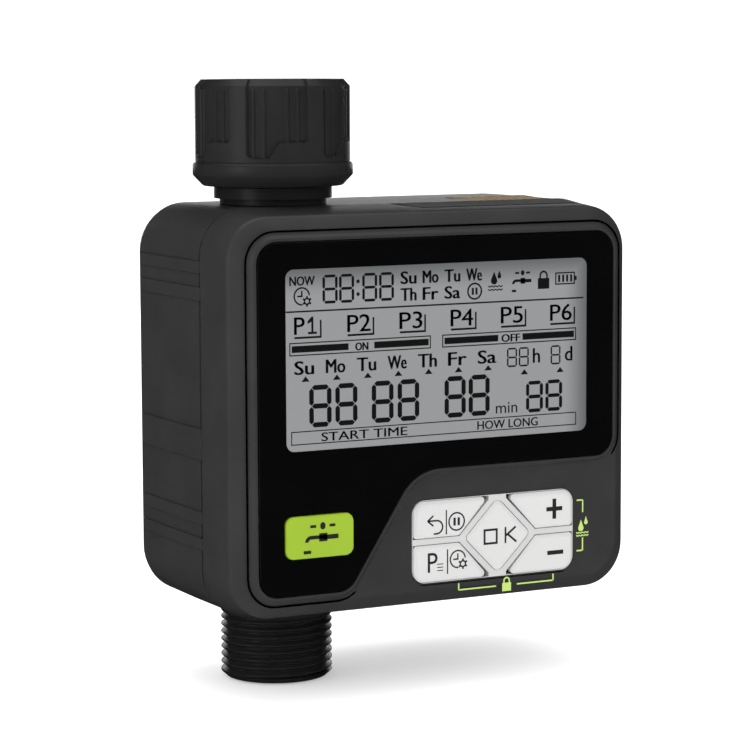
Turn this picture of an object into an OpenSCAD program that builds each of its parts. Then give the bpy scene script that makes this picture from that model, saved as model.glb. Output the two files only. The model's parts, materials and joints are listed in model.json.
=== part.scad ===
// Battery water timer for a garden tap: swivel nut, motor ball valve, display, keypad and rain sensor.
// Origin: centre of the swivel nut's mouth. +Z points out of the mouth, -Y is the front, +X is to the right.

/* [Housing] */
// Width of the housing at the seam
housing_w = 106; // [105.5:0.5:108]
// Height of the housing at the seam
housing_h = 94.2; // [94.2:0.2:96]
// Corner radius of the housing at the seam
corner_r = 11.2; // [10.5:0.1:12]
// Wall thickness of both shells
wall = 2.2; // [2:0.1:2.4]
// Distance from the tap line to the housing's middle
tap_offset = 27.2; // [27:0.1:27.6]
// Distance from the nut's mouth down to the housing's top
neck_drop = 29; // [28.9:0.1:30]

/* [Display] */
// Width of the window
window_w = 93.5; // [93:0.5:94]
// Visible width of the display
lcd_w = 79.2; // [76:0.2:80]
// Visible height of the display
lcd_h = 41.2; // [38:0.2:42]

/* [Keys] */
// Width of the keypad
keypad_w = 43.5; // [42:0.5:44]
// Height of the keypad
keypad_h = 19.5; // [19:0.5:20]
// Width of the grooves between the keys
key_groove = 1.7; // [1.4:0.1:2]
// How far a key travels
key_travel = 0.6; // [0.3:0.1:0.6]
// Width of the manual button
button_w = 17.2; // [16:0.2:18]
// Height of the manual button
button_h = 9.8; // [9:0.2:10.4]

/* [Tap thread] */
// Crest radius of the outlet thread
thread_r = 13.22; // [13.1:0.01:13.3]
// Thread pitch
thread_pitch = 1.814; // [1.7:0.002:1.9]
// Thread depth
thread_depth = 1.16; // [0.9:0.02:1.16]

/* [Gears] */
// Gear module
gear_module = 0.4; // [0.38:0.01:0.4]
// Teeth on the wheels
wheel_teeth = 27; // [27]
// Teeth on the pinions
pinion_teeth = 9; // [9]

/* [Hidden] */
$fn = 64;
hull_fn = 44;
slice = 0.01;

// Housing box. Y runs from the front (negative) to the back.
mid_x = tap_offset;
top_z = -neck_drop;
mid_z = top_z - housing_h / 2;
bottom_z = top_z - housing_h;
seam_y = -15;
crease_y = seam_y - 12.9;
lip_y = crease_y - 3.1;
window_y = lip_y - 1.4;
taper_y = 4;
back_y = 24;
front_inner_y = lip_y + wall;
back_inner_y = back_y - wall;
// How far each outline lies inside the seam outline: [across, up]
crease_in = [0.9, 1.45];
lip_in = [4.5, 5.0];
rear_in = [0.3, 0.1];
shoulder_in = [0.5, 0.2];
rear_round = 4;
// Width and depth of the groove behind the seam
seam_groove = [1.2, 0.6];
// How far the seal's two sides lie inside the outline
seal_in = [0.9, 1.6];
// Bottom and top of each raised band across the left and right sides
side_bands = [[-43.6, -40.85], [-49.85, -46.8], [-86.4, -79.2], [-101.3, -98.4], [-107.2, -104.5]];

// Screw columns
boss_r = 3.2;
head_r = 2.4;
shank_r = 1.3;
column_x = 44.9;
column_z = 38.3;
screw_seat_y = -9;
screw_tip_y = -24;
screw_spots = [for (sx = [-1, 1], sz = [-1, 0, 1])
    [mid_x + sx * (column_x + (sz == 0 ? 1.6 : 0)), mid_z + sz * column_z]];

// Window and display
window_x0 = mid_x - window_w / 2;
window_x1 = mid_x + window_w / 2;
window_z1 = top_z - 7;
window_z0 = window_z1 - 80.3;
window_step_z = window_z1 - 53.6;
window_t = 1.7;
pocket_y = window_y + window_t;
bezel_w = 1.75;
bezel_y = lip_y - 1.1;
// Window outline: corner points with their rounding radius, anticlockwise from the bottom left
window_corners = [
    [window_x0, window_z0, 4.6],
    [3.2, window_z0, 5],
    [20.5, window_step_z, 12],
    [window_x1, window_step_z, 4.6],
    [window_x1, window_z1, 4.8],
    [window_x0, window_z1, 4.8]];
lcd_x = mid_x - 0.3;
lcd_z = mid_z + 13.35;
lcd_glass = [lcd_w + 2.4, 2.4, lcd_h + 2.4];
lcd_y = pocket_y + 0.1;
backlight = [lcd_w + 1, 2.8, lcd_h - 5];
strip = [lcd_w - 2, 2.2];

// Manual button
button_x = -4.55;
button_z = mid_z - 26.9;
button_r = 2;
button_y = window_y - 0.5;
button_travel = 0.8;

// Keypad
keypad_x = 41.85;
keypad_z = mid_z - 30.8;
keypad_r = 3.4;
ok_x = keypad_x + 1;
ok_r = [8.8, 8.9];
key_gap = 0.15;
web_y = lip_y - 0.15;
key_y = lip_y - 0.75;
web_flange = 1.8;

// Circuit board
board_y0 = -24.6;
board_t = 1.6;
board_x0 = mid_x - 44;
board_x1 = mid_x + 44;
board_z0 = bottom_z + 5;
board_z1 = top_z - 5;
dome_t = 0.45;
dome_r = 3;

// Rain sensor
sensor = [22, 17, 1];
sensor_x = 59;
sensor_y = -5.5;
sensor_tilt = 2.4;
sensor_gap = 0.8;
// The seam jogs forwards on the sensor's side: where the jog starts, its width and its depth
jog_x = 22;
jog_w = 5.5;
jog_d = 8;
jog_y = seam_y - jog_d;

// Batteries: four AA cells lying across the back
cell_r = 7.1;
cell_l = 50.5;
cell_pitch = 14.6;
cells = 4;
bay_wall = 1.3;
bay_x0 = 13;
bay_x1 = bay_x0 + cell_l + 4.7;
bay_z1 = top_z - 6.2;
bay_z0 = bay_z1 - cells * cell_pitch - 0.2;
bay_y0 = back_y - 17.6;
cell_y = bay_y0 + cell_r + 0.2;
door_t = 2.2;
door_y0 = back_y - door_t;
door_margin = 2.6;
door_gap = 0.3;
// Width of the bay's seal and the clearance round it
rim_w = 1.1;
rim_gap = 0.05;
door_x0 = bay_x0 - door_margin;
door_x1 = bay_x1 + door_margin;
door_z1 = bay_z1 + door_margin;
hinge_y = back_y - 1.7;
hinge_z = bay_z0 - 3;
hinge_pin_r = 0.8;
knuckle_r = 1.7;
trough_r = 2.2;
knuckle_l = 9;
knuckle_in = 4;

// Tap line: heights below the nut's mouth
grip_r = 18.15;
ring_r = 18.8;
nut_h = 24.7;
ring_z1 = -19.1;
// Chamfer at the mouth: across and down
chamfer = [1.4, 1.65];
// Grip pockets round the nut: how many, width in degrees, first edge, depth and lower edge
pockets = 6;
pocket_arc = 47;
pocket_start = -135.2;
pocket_deep = 1;
pocket_z0 = -18.05;
// The right-hand part of each pocket is shorter by this much
pocket_step = 3.6;
// Upright ribs in each pocket: angles from its edge, and [width, height, top]
rib_angles = [4.6, 12.9, 30.8, 38.9];
rib = [0.9, 0.4, -2.2];
bore_in_r = thread_r - thread_depth;
nut_thread_z0 = -15.6;
washer_z0 = -18.1;
washer_t = 2.2;
flange_r = 12.6;
pocket_r = 12.9;
flange_t = 2;
flange_z0 = washer_z0 - flange_t;
neck_r = 10.4;
collar_r = 13.84;
collar_z1 = -24.95;
collar_z0 = -27.6;
foot_r = 12.55;
pipe_r = 11;
water_r = 8.5;

// Valve
valve_z = -109;
ball_r = 9.5;
ball_bore_r = 6.25;
chamber_r = 10.2;
body_r = 14;
outlet_collar_r = 13.6;
body_z1 = -95.5;
chamber_z1 = -99.4;
chamber_z0 = -118.6;
pipe_z0 = chamber_z1 + 0.05;
seat_in_r = 6.6;
seat_t = 3.6;
outlet_z0 = -141.3;
outlet_crests = 9;
outlet_first_z = -125.65;
ball_flat = 0.5;
stem_r = 2.5;
stem_boss_r = 6;
stem_boss_x = 16.2;
stem_ring_x = [12.2, 14.4];
tang = [2, 1.8, 8];
tang_gap = 0.05;

// Gear train: shaft positions as [y, z] and layers as x
wheel_r = gear_module * wheel_teeth / 2;
pinion_r = gear_module * pinion_teeth / 2;
centre_dist = wheel_r + pinion_r;
gear_t = 2;
layer_x = [18.2, 20.8, 23.4];
shaft_b = [-6.9, valve_z - sqrt(centre_dist * centre_dist - 6.9 * 6.9)];
shaft_a = [shaft_b[0] + centre_dist * sin(10), shaft_b[1] + centre_dist * cos(10)];
shaft_m = [shaft_a[0] + centre_dist * cos(20), shaft_a[1] - centre_dist * sin(20)];
axle_r = 0.6;
axle_gap = 0.03;
gearbox_wall = 1.3;
gearbox_x0 = 16.4;
gearbox_x1 = layer_x[2] + gear_t + 0.5;
gearbox_y0 = -14.6;
gearbox_y1 = 12;
gearbox_z0 = valve_z - 9.4;
gearbox_z1 = valve_z + 13;
motor_r = 10;
motor_flat = 7.5;
motor_l = 25;
motor_x0 = gearbox_x1 + gearbox_wall;
wire_r = 0.6;

// ---------- outlines ----------

module rounded_rect(w, h, r) {
    square([w - 2 * r, h], center = true);
    square([w, h - 2 * r], center = true);
    for (sx = [-1, 1], sz = [-1, 1])
        translate([sx * (w / 2 - r), sz * (h / 2 - r)]) circle(r);
}

// Points of a polygon whose corners [x, y, r] are rounded by arcs of radius r
function arc_points(p, a, b, steps) =
    let(u = (a - [p[0], p[1]]) / norm(a - [p[0], p[1]]),
        v = (b - [p[0], p[1]]) / norm(b - [p[0], p[1]]),
        half = acos(u * v) / 2,
        mid = (u + v) / norm(u + v),
        centre = [p[0], p[1]] + mid * p[2] / sin(half),
        first = [p[0], p[1]] + u * p[2] / tan(half) - centre,
        turn = sign(u[0] * v[1] - u[1] * v[0]) * (2 * half - 180))
    [for (i = [0 : steps]) let(t = turn * i / steps)
        centre + [first[0] * cos(t) - first[1] * sin(t), first[0] * sin(t) + first[1] * cos(t)]];

function rounded_points(corners, steps = 8) =
    let(n = len(corners))
    [for (i = [0 : n - 1])
        let(a = corners[(i + n - 1) % n], b = corners[(i + 1) % n])
        each arc_points(corners[i], [a[0], a[1]], [b[0], b[1]], steps)];

// Extrudes an outline drawn in X and Z from y0 back to y1
module upright(y0, y1) {
    translate([0, y1, 0]) rotate([90, 0, 0]) linear_extrude(y1 - y0) children();
}

module upright_rect(x, z, w, h, r, y0, y1) {
    upright(y0, y1) translate([x, z]) rounded_rect(w, h, r);
}

// One slice of the housing, smaller than the seam outline by inset on every side
module housing_slice(inset, y0, y1, r) {
    upright_rect(mid_x, mid_z, housing_w - 2 * inset[0], housing_h - 2 * inset[1], r, y0, y1, $fn = hull_fn);
}

// Straight rod along X, from x0 to x1, at [y, z]
module rod_x(x0, x1, spot, r) {
    translate([x0, spot[0], spot[1]]) rotate([0, 90, 0]) cylinder(r = r, h = x1 - x0);
}

// Straight rod along Y, from y0 to y1, at [x, z]
module rod_y(y0, y1, spot, r) {
    translate([spot[0], y1, spot[1]]) rotate([90, 0, 0]) cylinder(r = r, h = y1 - y0);
}

module rod_z(z0, z1, r) {
    translate([0, 0, z0]) cylinder(r = r, h = z1 - z0);
}

module box(low, high) {
    translate(low) cube(high - low);
}

// ---------- housing ----------

module front_block(inset, y_front, r_less) {
    hull() {
        housing_slice([inset, inset], seam_y - slice, seam_y, corner_r - r_less);
        housing_slice(crease_in + [inset, inset], crease_y, crease_y + slice, corner_r - 1 - r_less);
        housing_slice(lip_in + [inset, inset], y_front, y_front + slice, corner_r - 2.2 - r_less);
    }
}

module rear_block(inset, y_front, y_back) {
    hull() {
        housing_slice(rear_in + [inset, inset], y_front, taper_y, corner_r - inset);
        housing_slice(shoulder_in + [inset, inset], y_back - rear_round - slice, y_back - rear_round,
            corner_r - inset);
        for (turn = [30, 55, 75, 90]) {
            deep = (1 - cos(turn)) * rear_round;
            housing_slice(shoulder_in + [inset + deep, inset + deep], y_back - (1 - sin(turn)) * rear_round - slice,
                y_back - (1 - sin(turn)) * rear_round, corner_r - inset - deep * 0.6);
        }
    }
}

// All that lies behind the seam, with the seam moved forwards by gap
module behind_seam(gap) {
    far = 2 * housing_w;
    lean = gap * (norm([jog_w, jog_d]) - jog_w) / jog_d;
    translate([0, 0, bottom_z - 2]) linear_extrude(housing_h + 4) polygon([
        [-far, seam_y - gap],
        [jog_x - lean, seam_y - gap],
        [jog_x + jog_w - lean, jog_y - gap],
        [far, jog_y - gap],
        [far, far],
        [-far, far]]);
}

// Walls of the front block, before the seam parts them
module front_walls() {
    difference() {
        front_block(0, lip_y, 0);
        front_block(wall, front_inner_y, wall);
    }
}

// Body of the housing from the front to just behind the seam, inside the outline by inset
module seam_core(inset, reach) {
    front_block(inset, lip_y, inset);
    housing_slice([inset, inset], seam_y - slice, seam_y + reach, corner_r - inset);
}

// Groove that shows as a dark line where the shells meet, bridged on the left by the raised bands
module seam_line() {
    difference() {
        behind_seam(0);
        behind_seam(-seam_groove[0]);
        seam_core(seam_groove[1], 2 * seam_groove[0]);
        for (z = side_bands)
            box([mid_x - housing_w, seam_y - 1, z[0]], [mid_x - housing_w / 4, seam_y + 3, z[1]]);
    }
}

module seal_ring(grow) {
    reach = 0.8 + grow;
    intersection() {
        difference() {
            seam_core(seal_in[0] - grow, reach);
            seam_core(seal_in[1] + grow, 2 * reach);
        }
        difference() {
            behind_seam(reach);
            behind_seam(-reach);
        }
    }
}

function unit(v) = v / norm(v);

// Corner [x, y, r] of an anticlockwise outline, with the outline grown outwards
function grown_corner(before, here, after, grow) =
    let(a = unit([here[0] - before[0], here[1] - before[1]]),
        b = unit([after[0] - here[0], after[1] - here[1]]),
        m = [a[1], -a[0]],
        n = [b[1], -b[0]],
        shift = grow * (m + n) / (1 + m * n))
    [here[0] + shift[0], here[1] + shift[1], here[2] + sign(a[0] * b[1] - a[1] * b[0]) * grow];

module window_outline(grow) {
    n = len(window_corners);
    polygon(rounded_points([for (i = [0 : n - 1])
        grown_corner(window_corners[(i + n - 1) % n], window_corners[i], window_corners[(i + 1) % n], grow)]));
}

module front_shell() {
    color("#3a3a3b") difference() {
        union() {
            difference() {
                front_walls();
                behind_seam(0.1);
            }
            upright(bezel_y, front_inner_y) window_outline(bezel_w);
            for (spot = screw_spots)
                rod_y(front_inner_y - 0.5, seam_y + 0.5, spot, boss_r);
        }
        upright(lip_y - 4, pocket_y) window_outline(0.15);
        upright_rect(lcd_x, lcd_z, lcd_glass[0] + 0.4, lcd_glass[2] + 0.4, 0.3, lip_y - 4, front_inner_y + 1);
        upright_rect(button_x, button_z, button_w + 0.5, button_h + 0.5, button_r + 0.2, lip_y - 4,
            front_inner_y + 1);
        upright_rect(keypad_x, keypad_z, keypad_w + 0.3, keypad_h + 0.3, keypad_r, lip_y - 4,
            front_inner_y + 1);
        for (spot = screw_spots)
            rod_y(screw_tip_y - 1, seam_y + 1, spot, shank_r);
        box([mid_x - housing_w, seam_y, bottom_z - 1], [mid_x + housing_w, seam_y + 1, top_z + 1]);
        seal_ring(0.05);
    }
}

// Outline of the bay walls around the battery cells
module bay_walls() {
    box([bay_x0 - bay_wall, bay_y0 - bay_wall, bay_z0 - bay_wall],
        [bay_x1 + bay_wall, door_y0, bay_z1 + bay_wall]);
    box([door_x0 - 1.2, door_y0 - 1.6, hinge_z - 3.2], [door_x1 + 1.2, back_y - 0.8, door_z1 + 1.2]);
}

module sensor_recess(grow, depth) {
    translate([sensor_x, sensor_y, top_z - 0.3]) rotate([sensor_tilt, 0, 0]) translate([0, 0, -depth])
        linear_extrude(depth + 3) rounded_rect(sensor[0] + 2 * grow, sensor[1] + 2 * grow, 2.4);
}

module rear_shell() {
    color("#3d3d3e") difference() {
        union() {
            difference() {
                rear_block(0, seam_y, back_y);
                difference() {
                    rear_block(wall, seam_y - 1, back_inner_y);
                    bay_walls();
                    for (spot = screw_spots)
                        rod_y(seam_y, back_y, spot, boss_r);
                    sensor_recess(sensor_gap + 1.2, sensor[2] + 1.8);
                }
            }
            intersection() {
                front_walls();
                behind_seam(0);
            }
            side_ribs();
        }
        box([bay_x0, bay_y0, bay_z0], [bay_x1, back_y + 1, bay_z1]);
        door_seal_block(rim_gap);
        difference() {
            union() {
                box([door_x0 - door_gap, door_y0, hinge_z - trough_r - 0.4],
                    [door_x1 + door_gap, back_y + 1, door_z1 + door_gap]);
                rod_x(door_x0 - door_gap, door_x1 + door_gap, [hinge_y, hinge_z], trough_r);
            }
            hinge_lug();
        }
        rod_x(door_x0 - 2.5, door_x1 + 2.5, [hinge_y, hinge_z], hinge_pin_r);
        sensor_recess(sensor_gap, sensor[2] + 0.3);
        sensor_recess(-3, sensor[2] + 3);
        rod_z(top_z - wall - 2, top_z + 1, pipe_r + 0.1);
        rod_z(bottom_z - 1, bottom_z + wall + 1, outlet_collar_r + 0.15);
        for (spot = screw_spots) {
            rod_y(screw_seat_y, back_y + 1, spot, head_r + 0.2);
            rod_y(seam_y - 1, back_y, spot, shank_r + 0.15);
        }
        seam_line();
        seal_ring(0.05);
    }
}

// Lug of the rear shell between the door's knuckles
module hinge_lug() {
    lug = 18;
    middle = (door_x0 + door_x1) / 2;
    box([middle - lug / 2, door_y0 - 2, hinge_z - trough_r], [middle + lug / 2, hinge_y, hinge_z + knuckle_r]);
    rod_x(middle - lug / 2, middle + lug / 2, [hinge_y, hinge_z], knuckle_r);
}

// Raised bands across the left and right sides, flush with the front shell at the seam
module side_ribs() {
    edge = housing_w / 2;
    root = edge - 1.2;
    for (side = [-1, 1], z = side_bands)
        translate([mid_x, 0, z[0]]) linear_extrude(z[1] - z[0]) polygon([
            [side * edge, seam_y],
            [side * edge, taper_y],
            [side * (edge - shoulder_in[0] + rear_in[0]), back_y - rear_round],
            [side * root, back_y - rear_round * 0.6],
            [side * root, seam_y]]);
}

module display_window() {
    color("#0b0b0c") upright(window_y, pocket_y) difference() {
        window_outline(0);
        translate([button_x, button_z]) rounded_rect(button_w + 0.5, button_h + 0.5, button_r + 0.2);
    }
}

module lcd_panel() {
    color("#a9adab") translate([lcd_x - lcd_glass[0] / 2, lcd_y, lcd_z - lcd_glass[2] / 2]) cube(lcd_glass);
}

module lcd_backlight() {
    color("#e8e8e4") translate([lcd_x - backlight[0] / 2, lcd_y + lcd_glass[1] + 0.05, lcd_z - backlight[2] / 2])
        cube(backlight);
}

module contact_strips() {
    strip_y = lcd_y + lcd_glass[1] + 0.05;
    color("#c98a8a") for (side = [-1, 1])
        translate([lcd_x - strip[0] / 2, strip_y, lcd_z + side * (lcd_h / 2 - 0.6) - strip[1] / 2])
            cube([strip[0], board_y0 - 0.05 - strip_y, strip[1]]);
}

module circuit_board() {
    color("#1f6b3a") difference() {
        box([board_x0, board_y0, board_z0], [board_x1, board_y0 + board_t, board_z1]);
        for (spot = screw_spots)
            rod_y(board_y0 - 1, board_y0 + board_t + 1, spot, boss_r + 0.4);
    }
}

// Chips and other parts on the board's rear side: [x, z, width, height, thickness]
board_parts = [[8, -66, 10, 10, 1.6], [30, -60, 8, 6, 1.5], [55, -70, 5, 4, 1.2], [50, -50, 12, 5, 3.5],
    [66, -60, 4, 3, 1], [66, -68, 4, 3, 1], [-8, -50, 6, 9, 4]];

module board_components() {
    back = board_y0 + board_t;
    color("#202224") for (p = board_parts)
        translate([p[0] - p[2] / 2, back, p[1] - p[3] / 2]) cube([p[2], p[4], p[3]]);
    color("#202224") rod_y(back, back + 6, [64, -84], 4);
}

// Centre of each switch dome: the manual button first, then the keys
dome_spots = [[button_x, button_z], [28.5, keypad_z + 5.2], [28.5, keypad_z - 5.2], [ok_x, keypad_z],
    [57, keypad_z + 5.2], [57, keypad_z - 5.2]];

module switch_domes() {
    color("#c8c9cc") for (spot = dome_spots)
        rod_y(board_y0 - dome_t, board_y0, spot, dome_r);
}

// ---------- keys ----------

module diamond(grow) {
    polygon(rounded_points([
        [ok_x, keypad_z + ok_r[1] + grow * 1.4, 2],
        [ok_x - ok_r[0] - grow * 1.4, keypad_z, 1.4],
        [ok_x, keypad_z - ok_r[1] - grow * 1.4, 2],
        [ok_x + ok_r[0] + grow * 1.4, keypad_z, 1.4]], 4));
}

// Outline of one corner key: side -1 is left, row -1 is below
module corner_key_outline(side, row, grow) {
    intersection() {
        translate([keypad_x, keypad_z]) rounded_rect(keypad_w - 0.6 + 2 * grow, keypad_h - 0.6 + 2 * grow, keypad_r);
        difference() {
            translate([ok_x + (side < 0 ? -keypad_w : 0), keypad_z + (row < 0 ? -keypad_h : key_groove / 2)])
                translate([0, row < 0 ? -key_groove / 2 + grow : -grow]) square([keypad_w, keypad_h]);
            diamond(key_groove - grow);
            translate([ok_x, keypad_z]) square([5 - 2 * grow, keypad_h * 2], center = true);
        }
    }
}

module corner_key(side, row, spot) {
    upright(key_y, front_inner_y + 1.3) corner_key_outline(side, row, 0);
    upright_rect(spot[0], spot[1], 9, 5, 1, front_inner_y + 1.3, front_inner_y + 2.1);
    rod_y(front_inner_y + 2.1, board_y0 - dome_t - key_travel - 0.1, spot, 1.5);
}

module key_back() { color("#e9e9e8") corner_key(-1, 1, dome_spots[1]); }
module key_program() { color("#e9e9e8") corner_key(-1, -1, dome_spots[2]); }
module key_plus() { color("#e9e9e8") corner_key(1, 1, dome_spots[4]); }
module key_minus() { color("#e9e9e8") corner_key(1, -1, dome_spots[5]); }

module key_ok() {
    color("#ececeb") {
        upright(key_y, front_inner_y + 1.3) diamond(0);
        upright_rect(ok_x, keypad_z, 8, 8, 1, front_inner_y + 1.3, front_inner_y + 2.1);
        rod_y(front_inner_y + 2.1, board_y0 - dome_t - key_travel - 0.1, dome_spots[3], 1.5);
    }
}

module keypad_web() {
    color("#d9d9d8") difference() {
        union() {
            upright_rect(keypad_x, keypad_z, keypad_w, keypad_h, keypad_r, web_y, front_inner_y);
            intersection() {
                upright_rect(keypad_x, keypad_z, keypad_w + 2 * web_flange, keypad_h + 2 * web_flange, keypad_r,
                    front_inner_y, front_inner_y + 1.2);
                front_block(wall + 0.1, front_inner_y, wall);
            }
        }
        upright(web_y - 1, front_inner_y + 2) {
            for (side = [-1, 1], row = [-1, 1])
                corner_key_outline(side, row, key_gap);
            diamond(key_gap);
        }
    }
}

module manual_button() {
    color("#a5cd32") {
        upright_rect(button_x, button_z, button_w, button_h, button_r, button_y, front_inner_y + 0.1);
        upright_rect(button_x, button_z, button_w + 2, button_h + 2, button_r, front_inner_y + 0.1,
            front_inner_y + 1.1);
        rod_y(front_inner_y + 1.1, board_y0 - dome_t - button_travel - 0.1, dome_spots[0], 1.8);
    }
}

module housing_seal() {
    color("#55585c") seal_ring(0);
}

module housing_screws() {
    color("#b9bcc0") for (spot = screw_spots) {
        rod_y(screw_tip_y, screw_seat_y, spot, shank_r - 0.03);
        difference() {
            rod_y(screw_seat_y, screw_seat_y + 2, spot, head_r);
            translate([spot[0], 0, spot[1]]) for (turn = [0, 90]) rotate([0, turn, 0])
                box([-1.6, screw_seat_y + 0.9, -0.35], [1.6, screw_seat_y + 3, 0.35]);
        }
    }
}

// ---------- rain sensor ----------

module rain_sensor_plate() {
    color("#b58a3c") translate([sensor_x, sensor_y, top_z - 0.3]) rotate([sensor_tilt, 0, 0])
        translate([0, 0, -sensor[2]]) linear_extrude(sensor[2]) rounded_rect(sensor[0], sensor[1], 1.6);
}

module sensor_leads() {
    color("#c79a3a") for (side = [-1, 1])
        translate([sensor_x + side * 4, sensor_y, top_z - 4.4]) cylinder(r = 0.5, h = 2.85);
}

// ---------- battery bay ----------

module battery_door() {
    middle_z = (hinge_z + door_z1) / 2;
    color("#373738") difference() {
        union() {
            box([door_x0, door_y0, hinge_z], [door_x1, back_y, door_z1]);
            for (end = [door_x0 + knuckle_in, door_x1 - knuckle_in - knuckle_l])
                rod_x(end, end + knuckle_l, [hinge_y, hinge_z], knuckle_r);
        }
        // The plate stops short of the hinge line except at the knuckles
        door_cut(door_x0 - 1, door_x0 + knuckle_in);
        door_cut(door_x0 + knuckle_in + knuckle_l, door_x1 - knuckle_in - knuckle_l);
        door_cut(door_x1 - knuckle_in, door_x1 + 1);
        rod_x(door_x0 - 1, door_x1 + 1, [hinge_y, hinge_z], hinge_pin_r + 0.05);
        // Finger notch at the top edge
        translate([(door_x0 + door_x1) / 2, back_y + 6.8, door_z1 - 1.5]) rotate([0, 90, 0])
            cylinder(r = 8, h = 16, center = true);
        // Grip lines
        for (i = [0 : 4])
            box([(door_x0 + door_x1) / 2 - 9, back_y - 0.4, middle_z + 20 - 2.2 * i],
                [(door_x0 + door_x1) / 2 + 9, back_y + 1, middle_z + 21 - 2.2 * i]);
    }
}

module door_cut(x0, x1) {
    box([x0, door_y0 - 1, hinge_z - 3], [x1, back_y + 1, hinge_z + trough_r + 0.4]);
}

// Block from which the seal around the bay is cut, grown by a gap
module door_seal_block(grow) {
    rim = rim_w + grow;
    box([bay_x0 - rim, door_y0 - 0.9 - grow, bay_z0 - rim], [bay_x1 + rim, door_y0 - 0.05 + grow, bay_z1 + rim]);
}

module door_seal() {
    color("#2b2d30") difference() {
        door_seal_block(0);
        box([bay_x0, door_y0 - 2, bay_z0], [bay_x1, door_y0 + 1, bay_z1]);
    }
}

module door_hinge_pin() {
    color("#c4c6c9") rod_x(door_x0 - 2.4, door_x1 + 2.4, [hinge_y, hinge_z], hinge_pin_r - 0.02);
}

function cell_z(i) = bay_z1 - 0.1 - (i + 0.5) * cell_pitch;

module battery_cells() {
    cap = [2.6, 1.2];
    color("#3b7f58") for (i = [0 : cells - 1]) {
        left = i % 2 == 0;
        spot = [cell_y, cell_z(i)];
        x0 = left ? bay_x0 + 4 : bay_x0 + 0.7 + cap[1];
        rod_x(x0, x0 + cell_l - cap[1], spot, cell_r);
        rod_x(left ? x0 + cell_l - cap[1] : x0 - cap[1], left ? x0 + cell_l : x0, spot, cap[0]);
    }
}

// Spring wire wound as a cone along X: a tube swept round a helix
module coil_spring(length, r0, r1, turns, wire) {
    sides = 6;
    rings = 14 * turns;
    function at(i) = let(t = i / rings) [length * t, (r0 + (r1 - r0) * t) * cos(360 * turns * t),
        (r0 + (r1 - r0) * t) * sin(360 * turns * t)];
    function ring(i) = let(p = at(i), out = [0, p[1], p[2]] / norm([0, p[1], p[2]]))
        [for (k = [0 : sides - 1]) p + wire * (cos(360 * k / sides) * out + [sin(360 * k / sides), 0, 0])];
    polyhedron(
        [for (i = [0 : rings]) each ring(i)],
        concat([[for (k = [sides - 1 : -1 : 0]) k]],
            [for (i = [0 : rings - 1], k = [0 : sides - 1])
                let(n = (k + 1) % sides) [i * sides + k, i * sides + n, (i + 1) * sides + n, (i + 1) * sides + k]],
            [[for (k = [0 : sides - 1]) rings * sides + k]]));
}

module battery_contacts() {
    plate = [0.35, 9.5, 10.5];
    color("#d0d2d4") for (i = [0 : cells - 1], side = [-1, 1])
        translate([side < 0 ? bay_x0 + plate[0] / 2 + 0.05 : bay_x1 - plate[0] / 2 - 0.05, cell_y, cell_z(i)])
            cube(plate, center = true);
    color("#d0d2d4") for (i = [0 : cells - 1])
        if (i % 2 == 0)
            translate([bay_x0 + 0.55, cell_y, cell_z(i)]) coil_spring(3.05, 4.4, 2.6, 3, 0.3);
        else
            translate([bay_x1 - 0.55, cell_y, cell_z(i)]) rotate([0, 180, 0]) coil_spring(2.2, 4.4, 2.6, 3, 0.3);
}

// ---------- tap line ----------

module groove_ring(z, r_open, r_root) {
    // 55 degree ring groove: cut from the crest radius r_open down to r_root
    half = abs(r_root - r_open) * tan(27.5) + 0.14;
    rotate_extrude() polygon([[r_open + sign(r_open - r_root) * 0.5, z - half - 0.26],
        [r_open + sign(r_open - r_root) * 0.5, z + half + 0.26],
        [r_root, z + 0.14], [r_root, z - 0.14]]);
}

module nut_profile() {
    polygon([[neck_r + 0.25, -nut_h], [ring_r - 2.4, -nut_h], [ring_r, -nut_h + 2.5], [ring_r, ring_z1 - 0.8],
        [grip_r, ring_z1], [grip_r, -chamfer[1]], [grip_r - chamfer[0], 0],
        [bore_in_r, 0], [bore_in_r, nut_thread_z0], [pocket_r, nut_thread_z0 - 0.2],
        [pocket_r, flange_z0 - 0.2], [neck_r + 0.25, flange_z0 - 0.2]]);
}

// Wedge about the tap line between two angles
module wedge(from, to, z0, z1) {
    reach = 2 * ring_r;
    translate([0, 0, z0]) linear_extrude(z1 - z0)
        polygon([[0, 0], reach * [cos(from), sin(from)], reach * [cos(to), sin(to)]]);
}

// Pockets sunk into the grip and open at the mouth, each with a step in its lower edge
module grip_pockets() {
    floor_r = grip_r - pocket_deep;
    difference() {
        rotate_extrude() polygon([[floor_r, pocket_z0], [floor_r, -chamfer[1]], [floor_r - chamfer[0], 0],
            [floor_r - chamfer[0], 1], [grip_r + 1, 1], [grip_r + 1, pocket_z0]]);
        for (i = [0 : pockets - 1]) {
            start = pocket_start + 360 / pockets * i;
            wedge(start + pocket_arc, start + 360 / pockets, pocket_z0 - 1, 2);
            wedge(start + pocket_arc * 0.45, start + pocket_arc + 1, pocket_z0 - 1, pocket_z0 + pocket_step);
        }
    }
}

module grip_ribs() {
    floor_r = grip_r - pocket_deep;
    for (i = [0 : pockets - 1], at = rib_angles)
        rotate([0, 0, pocket_start + 360 / pockets * i + at])
            box([floor_r - 0.5, -rib[0] / 2, at > pocket_arc / 2 ? pocket_z0 + pocket_step - 0.1 : pocket_z0 - 0.1],
                [floor_r + rib[1], rib[0] / 2, rib[2]]);
}

module swivel_nut() {
    color("#2e2e2f") difference() {
        union() {
            difference() {
                rotate_extrude() nut_profile();
                grip_pockets();
            }
            grip_ribs();
        }
        for (i = [0 : floor(-nut_thread_z0 / thread_pitch) - 1])
            groove_ring(-1.7 - i * thread_pitch, bore_in_r, thread_r);
    }
}

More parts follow.
